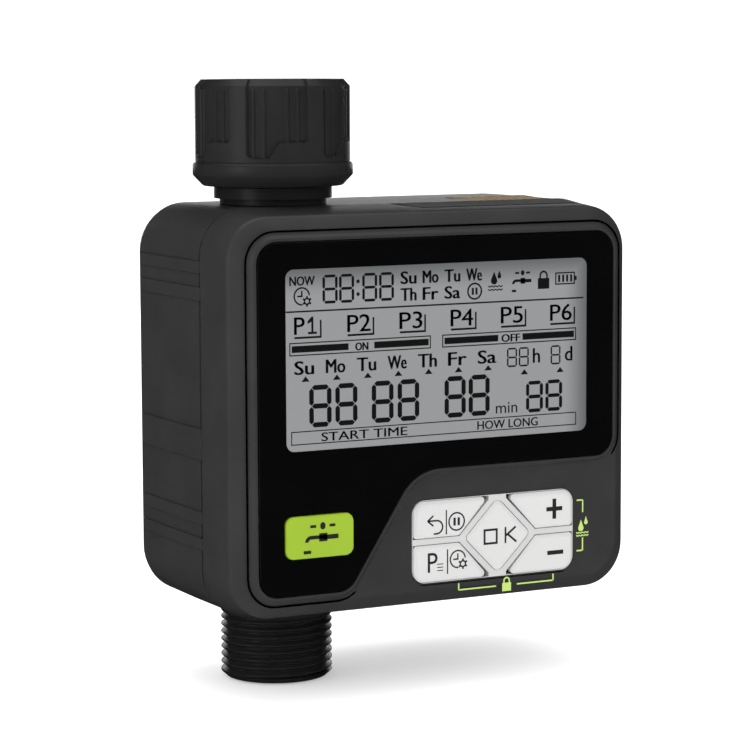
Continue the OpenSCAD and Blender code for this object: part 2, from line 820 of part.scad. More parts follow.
module inlet_washer() {
    color("#202022") difference() {
        rod_z(washer_z0, washer_z0 + washer_t, flange_r);
        rod_z(washer_z0 - 1, washer_z0 + washer_t + 1, 7.6);
    }
}

module inlet_filter() {
    // Cone of mesh with a flat rim, held in the washer
    color("#b7babd") rotate_extrude() polygon([[7.5, washer_z0 + 1.9], [7.5, washer_z0 - 0.6],
        [2.2, washer_z0 - 11], [0, washer_z0 - 11], [0, washer_z0 - 10.3], [1.9, washer_z0 - 10.3],
        [6.7, washer_z0 - 0.2], [6.7, washer_z0 + 1.9]]);
}

module inlet_neck() {
    color("#303031") difference() {
        union() {
            rod_z(flange_z0, washer_z0 - 0.02, flange_r);
            rod_z(pipe_z0, flange_z0, neck_r);
            rod_z(collar_z0, collar_z1, collar_r);
            rod_z(top_z + 0.02, collar_z0, foot_r);
            rod_z(pipe_z0, top_z + 0.02, pipe_r);
        }
        rod_z(pipe_z0 - 1, 0, water_r);
        ring_groove(body_z1 - 1.5, pipe_r, 1);
        ring_groove(top_z - wall / 2, pipe_r, 1);
    }
}

// Square groove round a pipe, centred on z
module ring_groove(z, r, depth) {
    difference() {
        rod_z(z - 0.75, z + 0.75, r + 1);
        rod_z(z - 1, z + 1, r - depth);
    }
}

module o_ring(r, wire) {
    rotate_extrude() translate([r, 0]) circle(wire, $fn = 24);
}

module neck_o_rings() {
    color("#1c1c1d") for (z = [body_z1 - 1.5, top_z - wall / 2])
        translate([0, 0, z]) o_ring(pipe_r - 0.49, 0.5);
}

module valve_body() {
    color("#333436") difference() {
        union() {
            rod_z(bottom_z + rear_in[1] + wall + 0.05, body_z1, body_r);
            rod_z(bottom_z - 0.3, bottom_z + rear_in[1] + wall + 0.1, outlet_collar_r);
            rod_z(outlet_z0, bottom_z, thread_r);
            rod_x(0, stem_boss_x, [0, valve_z], stem_boss_r);
        }
        rod_z(pipe_z0 - 0.1, body_z1 + 1, pipe_r + 0.02);
        rod_z(chamber_z0, pipe_z0, chamber_r);
        rod_z(outlet_z0 - 1, chamber_z0 + 0.5, water_r);
        rod_x(0, stem_boss_x + 1, [0, valve_z], stem_r + 0.05);
        for (i = [0 : outlet_crests - 1])
            groove_ring(outlet_first_z - i * thread_pitch, thread_r, bore_in_r);
        // Lead-in chamfer at the outlet's end
        difference() {
            rod_z(outlet_z0 - 1, outlet_z0 + 1.2, thread_r + 1);
            translate([0, 0, outlet_z0]) cylinder(r1 = 12.1, r2 = thread_r + 0.02, h = 1.2);
            rod_z(outlet_z0 - 2, outlet_z0, 1);
        }
    }
}

module valve_ball() {
    color("#e6e3d8") difference() {
        translate([0, 0, valve_z]) sphere(ball_r);
        rod_y(-ball_r - 1, ball_r + 1, [0, valve_z], ball_bore_r);
        // Flat on the stem's side, with the slot that the stem's tang turns
        box([ball_r - ball_flat, -ball_r, valve_z - ball_r], [ball_r + 1, ball_r, valve_z + ball_r]);
        box([ball_r - ball_flat - tang[0] - tang_gap, -tang[1] / 2 - tang_gap, valve_z - ball_r],
            [ball_r, tang[1] / 2 + tang_gap, valve_z + ball_r]);
    }
}

module ball_seats() {
    color("#f0efe9") translate([0, 0, valve_z]) for (side = [-1, 1]) difference() {
        end = (side < 0 ? chamber_z0 : chamber_z1) - valve_z;
        rod_z(side < 0 ? end + 0.02 : end - seat_t, side < 0 ? end + seat_t : end - 0.02, chamber_r - 0.02);
        sphere(ball_r + 0.05);
        rod_z(-chamber_r * 2, chamber_r * 2, seat_in_r);
    }
}

module valve_stem() {
    start = ball_r - ball_flat;
    color("#c9a24c") difference() {
        union() {
            intersection() {
                box([start - tang[0], -tang[1] / 2, valve_z - tang[2] / 2],
                    [start + 0.5, tang[1] / 2, valve_z + tang[2] / 2]);
                translate([0, 0, valve_z]) sphere(ball_r);
            }
            rod_x(start + 0.02, gearbox_x0 + 0.2, [0, valve_z], stem_r);
            rod_x(gearbox_x0 + 0.2, layer_x[0] + gear_t, [0, valve_z], 1.6);
        }
        for (x = stem_ring_x)
            translate([x, 0, valve_z]) rotate([0, 90, 0]) ring_groove(0, stem_r, 0.7);
    }
}

module stem_o_rings() {
    color("#1c1c1d") for (x = stem_ring_x)
        translate([x, 0, valve_z]) rotate([0, 90, 0]) o_ring(stem_r - 0.33, 0.36);
}

// ---------- gear train ----------

// Spur gear of straight-sided teeth, centred on the origin, drawn in 2D
module gear_outline(teeth, turn) {
    pitch_r = gear_module * teeth / 2;
    tip = pitch_r + 0.85 * gear_module;
    root = pitch_r - 1.25 * gear_module;
    step = 360 / teeth;
    rotate(turn) polygon([for (i = [0 : teeth - 1]) each [
        root * [cos(step * (i - 0.32)), sin(step * (i - 0.32))],
        pitch_r * [cos(step * (i - 0.21)), sin(step * (i - 0.21))],
        tip * [cos(step * (i - 0.1)), sin(step * (i - 0.1))],
        tip * [cos(step * (i + 0.1)), sin(step * (i + 0.1))],
        pitch_r * [cos(step * (i + 0.21)), sin(step * (i + 0.21))],
        root * [cos(step * (i + 0.32)), sin(step * (i + 0.32))]]]);
}

// Gear in the plane of Y and Z, from x on: outline angle 0 points to +Y, 90 points to +Z
module gear_x(x, spot, teeth, turn, thick) {
    translate([x, spot[0], spot[1]]) rotate([90, 0, 90]) linear_extrude(thick) gear_outline(teeth, turn);
}

function bearing(a, b) = atan2(b[1] - a[1], b[0] - a[0]);

// Angle that puts a tooth gap on the line towards the meshing gear's tooth
function gap_turn(teeth, towards) = towards + 180 / teeth;

shaft_out = [0, valve_z];

module output_gear() {
    color("#e9e6dc") difference() {
        gear_x(layer_x[0], shaft_out, wheel_teeth, bearing(shaft_out, shaft_b), gear_t);
        rod_x(layer_x[0] - 1, layer_x[0] + gear_t + 1, shaft_out, 1.62);
    }
}

module compound_gear(x_wheel, x_pinion, spot, wheel_turn, pinion_turn) {
    difference() {
        union() {
            gear_x(x_wheel, spot, wheel_teeth, wheel_turn, gear_t);
            gear_x(x_pinion, spot, pinion_teeth, pinion_turn, x_wheel - x_pinion);
        }
        rod_x(x_pinion - 1, x_wheel + gear_t + 1, spot, axle_r + axle_gap);
    }
}

module gear_b() {
    color("#dedbd0") compound_gear(layer_x[1], layer_x[0], shaft_b, bearing(shaft_b, shaft_a),
        gap_turn(pinion_teeth, bearing(shaft_b, shaft_out)));
}

module gear_a() {
    color("#e9e6dc") compound_gear(layer_x[2], layer_x[1], shaft_a, bearing(shaft_a, shaft_m),
        gap_turn(pinion_teeth, bearing(shaft_a, shaft_b)));
}

module motor_pinion() {
    color("#c9a24c") difference() {
        gear_x(layer_x[2], shaft_m, pinion_teeth, gap_turn(pinion_teeth, bearing(shaft_m, shaft_a)), gear_t);
        rod_x(layer_x[2] - 1, layer_x[2] + gear_t + 1, shaft_m, 1.02);
    }
}

module gear_axles() {
    color("#c4c6c9") for (spot = [shaft_b, shaft_a])
        rod_x(gearbox_x0 + 0.4, gearbox_x1 + gearbox_wall - 0.4, spot, axle_r);
}

gearbox_screw_spots = [[gearbox_y0 + 2.2, gearbox_z1 - 2.2], [gearbox_y1 - 2.2, gearbox_z1 - 2.2],
    [gearbox_y1 - 2.2, gearbox_z0 + 2.2]];

module gearbox_base() {
    color("#46484b") difference() {
        union() {
            difference() {
                box([gearbox_x0, gearbox_y0, gearbox_z0], [gearbox_x1, gearbox_y1, gearbox_z1]);
                box([gearbox_x0 + gearbox_wall, gearbox_y0 + 1.2, gearbox_z0 + 1.2],
                    [gearbox_x1 + 1, gearbox_y1 - 1.2, gearbox_z1 - 1.2]);
            }
            for (spot = gearbox_screw_spots)
                rod_x(gearbox_x0 + 0.5, gearbox_x1, spot, 1.8);
        }
        rod_x(gearbox_x0 - 1, gearbox_x0 + 3, shaft_out, stem_r + 0.1);
        for (spot = [shaft_b, shaft_a])
            rod_x(gearbox_x0 + 0.3, gearbox_x0 + 3, spot, axle_r);
        for (spot = gearbox_screw_spots)
            rod_x(gearbox_x0 + 2, gearbox_x1 + 1, spot, 0.8);
    }
}

module gearbox_cover() {
    color("#505255") difference() {
        box([gearbox_x1 + 0.02, gearbox_y0, gearbox_z0], [gearbox_x1 + gearbox_wall, gearbox_y1, gearbox_z1]);
        for (spot = [shaft_b, shaft_a])
            rod_x(gearbox_x1 - 1, gearbox_x1 + gearbox_wall - 0.3, spot, axle_r);
        rod_x(gearbox_x1 - 1, gearbox_x1 + gearbox_wall + 1, shaft_m, 3.1);
        for (spot = gearbox_screw_spots)
            rod_x(gearbox_x1 - 1, gearbox_x1 + gearbox_wall + 1, spot, 0.9);
    }
}

module gearbox_screws() {
    color("#b9bcc0") for (spot = gearbox_screw_spots) {
        rod_x(gearbox_x0 + 3, gearbox_x1 + gearbox_wall, spot, 0.78);
        rod_x(gearbox_x1 + gearbox_wall, gearbox_x1 + gearbox_wall + 1.2, spot, 1.6);
    }
}

// Round with two flats, for the motor's can
module motor_outline(r, flat) {
    intersection() {
        circle(r);
        square([4 * r, 2 * flat], center = true);
    }
}

module motor_can() {
    color("#a8abae") difference() {
        union() {
            translate([motor_x0 + 0.02, shaft_m[0], shaft_m[1]]) rotate([90, 0, 90])
                linear_extrude(motor_l - 5) motor_outline(motor_r, motor_flat);
            rod_x(motor_x0 - 1, motor_x0 + 1, shaft_m, 3);
        }
        rod_x(motor_x0 - 2, motor_x0 + motor_l, shaft_m, 1.05);
        translate([motor_x0 + 1.2, shaft_m[0], shaft_m[1]]) rotate([90, 0, 90])
            linear_extrude(motor_l) motor_outline(motor_r - 0.8, motor_flat - 0.8);
    }
}

module motor_cap() {
    x0 = motor_x0 + motor_l - 4.96;
    color("#ded9cc") difference() {
        union() {
            translate([x0, shaft_m[0], shaft_m[1]]) rotate([90, 0, 90])
                linear_extrude(2.5) motor_outline(motor_r, motor_flat);
            rod_x(x0 + 2.4, x0 + 4.6, shaft_m, 2.8);
        }
        rod_x(x0 - 1, x0 + 3.5, shaft_m, 1.05);
    }
}

module motor_shaft() {
    color("#c4c6c9") {
        rod_x(layer_x[2], motor_x0 + motor_l - 1.8, shaft_m, 1);
        rod_x(motor_x0 + 3, motor_x0 + motor_l - 7, shaft_m, 6);
    }
}

// ---------- wires ----------

// Round tube swept along straight runs between points, mitred at the bends
module wire_run(points, r) {
    sides = 8;
    n = len(points);
    function dir(i) = let(a = points[max(i - 1, 0)], b = points[min(i + 1, n - 1)]) (b - a) / norm(b - a);
    function side_of(d) = let(s = cross(d, abs(d[2]) > 0.9 ? [0, 1, 0] : [0, 0, 1])) s / norm(s);
    function ring(i) = let(d = dir(i), u = side_of(d), v = cross(d, u))
        [for (k = [0 : sides - 1]) points[i] + r * (cos(360 * k / sides) * u + sin(360 * k / sides) * v)];
    polyhedron(
        [for (i = [0 : n - 1]) each ring(i)],
        concat([[for (k = [0 : sides - 1]) k]],
            [for (i = [0 : n - 2], k = [0 : sides - 1])
                let(m = (k + 1) % sides) [i * sides + k, (i + 1) * sides + k, (i + 1) * sides + m, i * sides + m]],
            [[for (k = [sides - 1 : -1 : 0]) (n - 1) * sides + k]]));
}

motor_end_x = motor_x0 + motor_l - 2.4;
board_back_y = board_y0 + board_t;

// The two motor wires run in lanes 1 and 3 mm out from the cap, up to the board
function motor_route(side) = let(lane = 2 + side, y0 = shaft_m[0] + side * 4.5, run = board_back_y + 0.02 - y0)
    [[0.02, y0, 0], [0.7 * lane, y0, 0], [lane, y0 - 1, 0.8], [lane, y0 - 3, 3.2], [lane, y0 + run * 0.5, 9],
        [lane, y0 + run * 0.75, 12], [lane, y0 + run * 0.85, 13], [lane, y0 + run, 13]];

module motor_wires() {
    color("#b3292a") for (side = [-1, 1])
        translate([motor_end_x, 0, shaft_m[1]]) wire_run(motor_route(side), wire_r);
}

battery_run = bay_y0 - bay_wall - 0.04 - board_back_y;
battery_route = [[0, 0, 0], [0, -0.1, 0], [0, -0.2, -0.7], [0, -0.4, -2.5], [0, -0.6, -4.2], [0, -0.8, -5],
    [0, -0.9, -5], [0, -1, -5]];

module battery_wires() {
    color("#b3292a") for (side = [-1, 1])
        translate([40 + side * 1.6, bay_y0 - bay_wall - 0.02, -80])
            wire_run([for (p = battery_route) [p[0], p[1] * battery_run, p[2]]], wire_r);
}

front_shell();
rear_shell();
display_window();
lcd_panel();
lcd_backlight();
contact_strips();
circuit_board();
board_components();
switch_domes();
keypad_web();
key_back();
key_program();
key_ok();
key_plus();
key_minus();
manual_button();
housing_seal();
housing_screws();
rain_sensor_plate();
sensor_leads();
battery_door();
door_seal();
door_hinge_pin();
battery_cells();
battery_contacts();
swivel_nut();
inlet_washer();
inlet_filter();
inlet_neck();
neck_o_rings();
valve_body();
valve_ball();
ball_seats();
valve_stem();
stem_o_rings();
output_gear();
gear_b();
gear_a();
motor_pinion();
gear_axles();
gearbox_base();
gearbox_cover();
gearbox_screws();
motor_can();
motor_cap();
motor_shaft();
motor_wires();
battery_wires();
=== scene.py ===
"""Looks for the tap timer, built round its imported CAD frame.

Lengths in this file are millimetres in the row frame (front towards -Y, tap line on Z) until a mesh is made.
Outlines on the front are lists of (x, z), and run anticlockwise. A corner is (x, z, rounding radius).
"""

import json
from math import atan2, ceil, cos, degrees, pi, radians, sin, tan

import bmesh
import bpy
from mathutils import Matrix, Vector


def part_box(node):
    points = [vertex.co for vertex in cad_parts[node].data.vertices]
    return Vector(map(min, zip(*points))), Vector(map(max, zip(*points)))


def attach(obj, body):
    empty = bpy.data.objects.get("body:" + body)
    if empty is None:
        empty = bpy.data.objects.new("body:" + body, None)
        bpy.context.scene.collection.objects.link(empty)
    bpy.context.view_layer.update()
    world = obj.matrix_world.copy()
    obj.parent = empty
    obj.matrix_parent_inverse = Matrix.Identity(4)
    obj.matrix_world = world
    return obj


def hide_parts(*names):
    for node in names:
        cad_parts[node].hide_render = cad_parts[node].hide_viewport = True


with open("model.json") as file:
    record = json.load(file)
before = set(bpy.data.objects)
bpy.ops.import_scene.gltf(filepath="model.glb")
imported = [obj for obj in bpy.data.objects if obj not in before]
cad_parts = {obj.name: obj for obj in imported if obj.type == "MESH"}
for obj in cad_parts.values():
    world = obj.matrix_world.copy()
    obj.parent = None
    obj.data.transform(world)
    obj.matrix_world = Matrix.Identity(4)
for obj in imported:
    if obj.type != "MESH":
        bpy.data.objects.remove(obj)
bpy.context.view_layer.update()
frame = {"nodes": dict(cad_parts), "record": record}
MM = 0.001


def span(node):
    """Lowest and highest corner of a CAD node, in mm."""
    low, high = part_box(node)
    return Vector(low) / MM, Vector(high) / MM


# ---------- sizes, from the frame ----------

rear_lo, rear_hi = span("rear_shell")
front_lo, front_hi = span("front_shell")
window_lo, window_hi = span("display_window")
lcd_lo, lcd_hi = span("lcd_panel")
web_lo, web_hi = span("keypad_web")
button_lo, button_hi = span("manual_button")
ok_lo, ok_hi = span("key_ok")
nut_lo, nut_hi = span("swivel_nut")
valve_lo, valve_hi = span("valve_body")
sensor_lo, sensor_hi = span("rain_sensor_plate")
seal_lo = span("housing_seal")[0]

MID_X = (rear_lo.x + rear_hi.x) / 2
MID_Z = (rear_lo.z + rear_hi.z) / 2
HOUSING_W = rear_hi.x - rear_lo.x
HOUSING_H = rear_hi.z - rear_lo.z
SEAM_Y = front_hi.y
# The seam jogs forwards between these two x to JOG_Y
JOG_X = (22.0, 27.5)
JOG_Y = seal_lo.y + 0.8
LIP_Y = front_lo.y + 1.1
CREASE_Y = LIP_Y + 3.1
WINDOW_Y = window_lo.y
POCKET_Y = window_hi.y
CORNER_R = 11.2
CREASE_IN = (0.7, 1.35)
WALL = 2.2
WEB_FLANGE = 1.8
LCD_MARGIN = 1.2
BUTTON_FLANGE = 1.0
PITCH = 1.814
THREAD_DEPTH = 1.16
THREAD_R = 13.22


# ---------- outlines ----------

def rounded(corners, grow=0.0, steps=8):
    """Points of an outline with its corners rounded, grown outwards by grow."""
    count = len(corners)
    points = []
    for i in range(count):
        before, here, after = (Vector(corners[(i + k) % count][:2]) for k in (-1, 0, 1))
        into = (here - before).normalized()
        out = (after - here).normalized()
        turn = atan2(into.x * out.y - into.y * out.x, into.dot(out))
        side = 1 if turn > 0 else -1
        normals = Vector((into.y, -into.x)), Vector((out.y, -out.x))
        if abs(turn) < 0.001:
            points.append(here + grow * normals[0])
            continue
        apex = here + grow * (normals[0] + normals[1]) / (1 + normals[0].dot(normals[1]))
        radius = max(corners[i][2] + side * grow, 0.02)
        start = apex - into * radius * tan(abs(turn) / 2)
        centre = start + side * radius * Vector((-into.y, into.x))
        for k in range(steps + 1):
            points.append(centre + Matrix.Rotation(turn * k / steps, 2) @ (start - centre))
    return points


def rect_corners(x, z, w, h, r):
    ends = ((-1, -1), (1, -1), (1, 1), (-1, 1))
    return [(x + side * w / 2, z + row * h / 2, r) for side, row in ends]


def housing_outline(inset_x, inset_z, r, steps=16):
    """Outline of the housing, with points on its long sides where the seam jogs."""
    corners = rect_corners(MID_X, MID_Z, HOUSING_W - 2 * inset_x, HOUSING_H - 2 * inset_z, r)
    low, high = corners[0][1], corners[2][1]
    corners[3:3] = [(x, high, 0) for x in JOG_X[::-1]]
    corners[1:1] = [(x, low, 0) for x in JOG_X]
    return rounded(corners, 0, steps)


def seam_y_at(x):
    share = (x - JOG_X[0]) / (JOG_X[1] - JOG_X[0])
    return SEAM_Y + (JOG_Y - SEAM_Y) * min(max(share, 0.0), 1.0)


def seam_ring(inset, ahead):
    """Ring that follows the jogged seam, inset mm under the outer face and ahead mm in front of the seam."""
    seam = housing_outline(inset, inset, CORNER_R - inset)
    crease = housing_outline(inset + CREASE_IN[0], inset + CREASE_IN[1], CORNER_R - 1 - inset)
    ring = []
    for a, b in zip(seam, crease):
        y = seam_y_at(a.x) - ahead
        here = a.lerp(b, (SEAM_Y - y) / (SEAM_Y - CREASE_Y))
        ring.append(Vector((here.x, y, here.y)))
    return ring


def soften(stations, radii, steps=5):
    """Rounds the inner points of a list of stations (tuples of numbers) by curves that start radii away."""
    stations = [Vector(s) for s in stations]
    result = [stations[0]]
    for i in range(1, len(stations) - 1):
        here = stations[i]
        to_before = stations[i - 1] - here
        to_after = stations[i + 1] - here
        a = here + to_before * min(radii[i - 1] / to_before.length, 0.48)
        b = here + to_after * min(radii[i - 1] / to_after.length, 0.48)
        for k in range(steps + 1):
            t = k / steps
            result.append(a * (1 - t) ** 2 + here * 2 * t * (1 - t) + b * t ** 2)
    return result + [stations[-1]]


def at_y(outline, y):
    return [Vector((p[0], y, p[1])) for p in outline]


# ---------- meshes ----------

class Build:
    """Collects rings and fills into one mesh, in mm."""

    def __init__(self):
        self.bm = bmesh.new()

    def ring(self, points):
        return [self.bm.verts.new(p) for p in points]

    def band(self, a, b):
        count = len(a)
        for i in range(count):
            j = (i + 1) % count
            self.bm.faces.new((a[i], a[j], b[j], b[i]))

    def loft(self, rings):
        """Joins rings of points one after the other, and returns the first and the last as vertices."""
        made = [self.ring(r) for r in rings]
        for a, b in zip(made, made[1:]):
            self.band(a, b)
        return made[0], made[-1]

    def cap(self, ring):
        self.bm.faces.new(ring)

    def fill(self, rings, normal):
        """Flat face between an outer ring and the rings of its holes."""
        edges = []
        for ring in rings:
            for i in range(len(ring)):
                pair = (ring[i], ring[(i + 1) % len(ring)])
                edges.append(self.bm.edges.get(pair) or self.bm.edges.new(pair))
        bmesh.ops.triangle_fill(self.bm, use_beauty=True, edges=edges, normal=normal)

    def plate(self, outline, y0, y1):
        """Flat plate with an outline of (x, z), from y0 to y1."""
        a, b = self.loft([at_y(outline, y0), at_y(outline, y1)])
        self.cap(a)
        self.cap(b)

    def finish(self, name, body, slot, looks, replaces=(), smooth=35, turn=None):
        bmesh.ops.recalc_face_normals(self.bm, faces=self.bm.faces)
        mesh = bpy.data.meshes.new(name)
        self.bm.to_mesh(mesh)
        self.bm.free()
        mesh.transform(Matrix.Scale(MM, 4) @ (turn or Matrix.Identity(4)))
        piece = bpy.data.objects.new(name, mesh)
        bpy.context.scene.collection.objects.link(piece)
        mesh.materials.append(looks)
        shade(piece, smooth)
        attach(piece, body)
        if replaces:
            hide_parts(*replaces)
        return piece


def shade(piece, angle):
    """Smooth shading, with edges sharper than angle kept hard."""
    mesh = piece.data
    mesh.polygons.foreach_set("use_smooth", [True] * len(mesh.polygons))
    mesh.set_sharp_from_angle(angle=radians(angle))


# ---------- materials ----------

def add(tree, kind, **values):
    node = tree.nodes.new("ShaderNode" + kind)
    for key, value in values.items():
        if hasattr(node, key):
            setattr(node, key, value)
        else:
            node.inputs[key.replace("_", " ")].default_value = value
    return node


def noise(tree, size, detail=3.0, stretch=(1, 1, 1)):
    """Noise with features of about size mm, in the object's own space."""
    coords = tree.nodes.new("ShaderNodeTexCoord")
    mapping = add(tree, "Mapping")
    mapping.inputs["Scale"].default_value = stretch
    tree.links.new(coords.outputs["Object"], mapping.inputs["Vector"])
    node = add(tree, "TexNoise", Scale=1 / (size * MM), Detail=detail, Roughness=0.6)
    tree.links.new(mapping.outputs["Vector"], node.inputs["Vector"])
    return node.outputs["Fac"]


def between(tree, factor, low, high):
    """Maps a 0 to 1 factor onto low to high."""
    node = tree.nodes.new("ShaderNodeMapRange")
    node.inputs["From Min"].default_value = 0.3
    node.inputs["From Max"].default_value = 0.7
    node.inputs["To Min"].default_value = low
    node.inputs["To Max"].default_value = high
    tree.links.new(factor, node.inputs["Value"])
    return node.outputs["Result"]


def blend_colours(tree, factor, dark, light):
    node = tree.nodes.new("ShaderNodeMix")
    node.data_type = "RGBA"
    node.inputs["A"].default_value = (*dark, 1)
    node.inputs["B"].default_value = (*light, 1)
    tree.links.new(factor, node.inputs["Factor"])
    return node.outputs["Result"]


def surface(name, colour, rough, metal=0.0, grain=0.25, bump=0.012, mottle=0.10, spread=0.06, edge=0.15,
            coat=0.0, specular=0.5, stretch=(1, 1, 1), sheen=0.0):
    """Procedural finish: cloudy colour, grainy roughness, fine bump and edges rounded by edge mm."""
    looks = bpy.data.materials.new(name)
    looks.use_nodes = True
    tree = looks.node_tree
    shader = tree.nodes["Principled BSDF"]
    shader.inputs["Metallic"].default_value = metal
    shader.inputs["Coat Weight"].default_value = coat
    shader.inputs["Coat Roughness"].default_value = 0.06
    shader.inputs["Specular IOR Level"].default_value = specular
    shader.inputs["Sheen Weight"].default_value = sheen
    cloud = noise(tree, 14.0, 4.0)
    fine = noise(tree, grain, 2.0, stretch)
    dark = [c * (1 - mottle) for c in colour]
    light = [min(c * (1 + mottle), 1.0) for c in colour]
    colours = blend_colours(tree, between(tree, cloud, 0.0, 1.0), dark, light)
    tree.links.new(colours, shader.inputs["Base Color"])
    tree.links.new(between(tree, fine, rough - spread, rough + spread), shader.inputs["Roughness"])
    bumps = add(tree, "Bump", Strength=0.6, Distance=bump * MM)
    tree.links.new(fine, bumps.inputs["Height"])
    if edge:
        soft = add(tree, "Bevel", samples=4, Radius=edge * MM)
        tree.links.new(soft.outputs["Normal"], bumps.inputs["Normal"])
    tree.links.new(bumps.outputs["Normal"], shader.inputs["Normal"])
    return looks


def past(tree, axis, start, end):
    """0 up to start mm along an axis of the object, then rising smoothly to 1 at end mm."""
    coords = tree.nodes.new("ShaderNodeTexCoord")
    split = tree.nodes.new("ShaderNodeSeparateXYZ")
    tree.links.new(coords.outputs["Object"], split.inputs["Vector"])
    ramp = tree.nodes.new("ShaderNodeMapRange")
    ramp.interpolation_type = "SMOOTHSTEP"
    ramp.inputs["From Min"].default_value = start * MM
    ramp.inputs["From Max"].default_value = end * MM
    tree.links.new(split.outputs[axis], ramp.inputs["Value"])
    return ramp.outputs["Result"]


def painted_edge_shade(name, colour, shade_colour, right, top, reach, rough):
    """Flat surface with painted shade: it darkens to the given shade colour over the last reach mm before its
    right and top edges.
    """
    looks = surface(name, colour, rough, grain=0.12, bump=0.002, mottle=0.02, spread=0.02, edge=0.0)
    tree = looks.node_tree
    shader = tree.nodes["Principled BSDF"]
    # mask of the painted shade near the right and top edges
    either = add(tree, "Math", operation="MAXIMUM")
    tree.links.new(past(tree, "X", right - reach, right), either.inputs[0])
    tree.links.new(past(tree, "Z", top - reach, top), either.inputs[1])
    colours = blend_colours(tree, either.outputs[0], colour, shade_colour)
    tree.links.new(colours, shader.inputs["Base Color"])
    return looks


def mesh_cloth(name, colour):
    """Woven wire: crossing waves in the bump."""
    looks = surface(name, colour, 0.35, metal=1.0, bump=0.0)
    tree = looks.node_tree
    shader = tree.nodes["Principled BSDF"]
    coords = tree.nodes.new("ShaderNodeTexCoord")
    checks = add(tree, "TexChecker", Scale=1 / (0.45 * MM))
    tree.links.new(coords.outputs["Object"], checks.inputs["Vector"])
    bumps = add(tree, "Bump", Strength=0.8, Distance=0.12 * MM)
    tree.links.new(checks.outputs["Fac"], bumps.inputs["Height"])
    tree.links.new(bumps.outputs["Normal"], shader.inputs["Normal"])
    return looks


SHELL_GREY = (0.034, 0.034, 0.035)
LOOKS = {
    "shell": surface("shell_grey", SHELL_GREY, 0.42, grain=0.22, bump=0.010, edge=0.2),
    "door": surface("door_grey", (0.034, 0.034, 0.035), 0.44, grain=0.22, bump=0.012, edge=0.25),
    "nut": surface("nut_black", (0.020, 0.020, 0.021), 0.40, grain=0.30, bump=0.012, edge=0.1),
    "pipe": surface("pipe_black", (0.016, 0.016, 0.017), 0.38, grain=0.30, bump=0.010, edge=0.15),
    "window": surface("window_black", (0.0022, 0.0022, 0.0024), 0.08, grain=2.0, bump=0.001, spread=0.015,
                      edge=0.1, specular=0.35),
    "key": surface("key_white", (0.63, 0.63, 0.625), 0.38, grain=0.20, bump=0.004, mottle=0.015, edge=0.1),
    "light_plastic": surface("web_white", (0.57, 0.57, 0.565), 0.5, grain=0.20, bump=0.004, mottle=0.02,
                             edge=0.2),
    "lime": surface("button_lime", (0.31, 0.48, 0.016), 0.36, grain=0.25, bump=0.006, mottle=0.03, edge=0.1),
    # LCD face with painted shade, darker towards its right and top edges
    "lcd": painted_edge_shade("lcd_glass", (0.25, 0.255, 0.26), (0.10, 0.105, 0.11), lcd_hi.x, lcd_hi.z, 8.0, 0.22),
    "gold": surface("sensor_gold", (0.17, 0.11, 0.04), 0.5, specular=0.15, grain=0.5, bump=0.01, mottle=0.2,
                    edge=0.1),
    "brass": surface("turned_brass", (0.62, 0.42, 0.13), 0.26, metal=1.0, stretch=(1, 12, 12)),
    "steel": surface("plated_steel", (0.56, 0.57, 0.58), 0.28, metal=1.0, stretch=(8, 1, 1)),
    "motor_can": surface("drawn_can", (0.50, 0.51, 0.52), 0.32, metal=1.0, stretch=(10, 1, 1)),
    "filter": mesh_cloth("filter_mesh", (0.45, 0.46, 0.47)),
    "rubber_black": surface("rubber_black", (0.012, 0.012, 0.013), 0.62, bump=0.02),
    "rubber_grey": surface("rubber_grey", (0.07, 0.07, 0.075), 0.6, bump=0.02),
    "zebra": surface("contact_rubber", (0.50, 0.26, 0.24), 0.6, grain=0.1, stretch=(20, 1, 1), mottle=0.3),
    "board": surface("board_green", (0.012, 0.12, 0.045), 0.35, grain=0.6, bump=0.02, mottle=0.25, coat=0.4),
    "component": surface("chip_black", (0.014, 0.015, 0.017), 0.5, bump=0.02),
    "cell": surface("cell_green", (0.04, 0.20, 0.10), 0.3, mottle=0.15, coat=0.5),
    "ball": surface("acetal_ball", (0.76, 0.74, 0.66), 0.25, mottle=0.04),
    "seat": surface("seat_white", (0.83, 0.82, 0.78), 0.4, mottle=0.04),
    "gear": surface("acetal_gear", (0.76, 0.74, 0.66), 0.35, mottle=0.05),
    "gearbox": surface("nylon_grey", (0.055, 0.057, 0.06), 0.48, bump=0.02),
    "motor_cap": surface("nylon_cream", (0.68, 0.66, 0.58), 0.45, mottle=0.05),
    "wire": surface("wire_red", (0.40, 0.02, 0.02), 0.4),
}
INK = surface("key_ink", (0.022, 0.018, 0.018), 0.55, grain=0.2, bump=0.002, edge=0.0)
LCD_INK = surface("lcd_ink", (0.006, 0.006, 0.006), 0.5, grain=0.2, bump=0.002, edge=0.0)
LIME_INK = surface("lime_ink", (0.50, 0.70, 0.17), 0.5, grain=0.2, bump=0.004, mottle=0.08, edge=0.0)
TRACE_GOLD = surface("trace_gold", (0.42, 0.29, 0.11), 0.4, metal=0.5, specular=0.3, grain=0.4, bump=0.006,
                     edge=0.05)


# ---------- printing: flat shapes, text and digits ----------

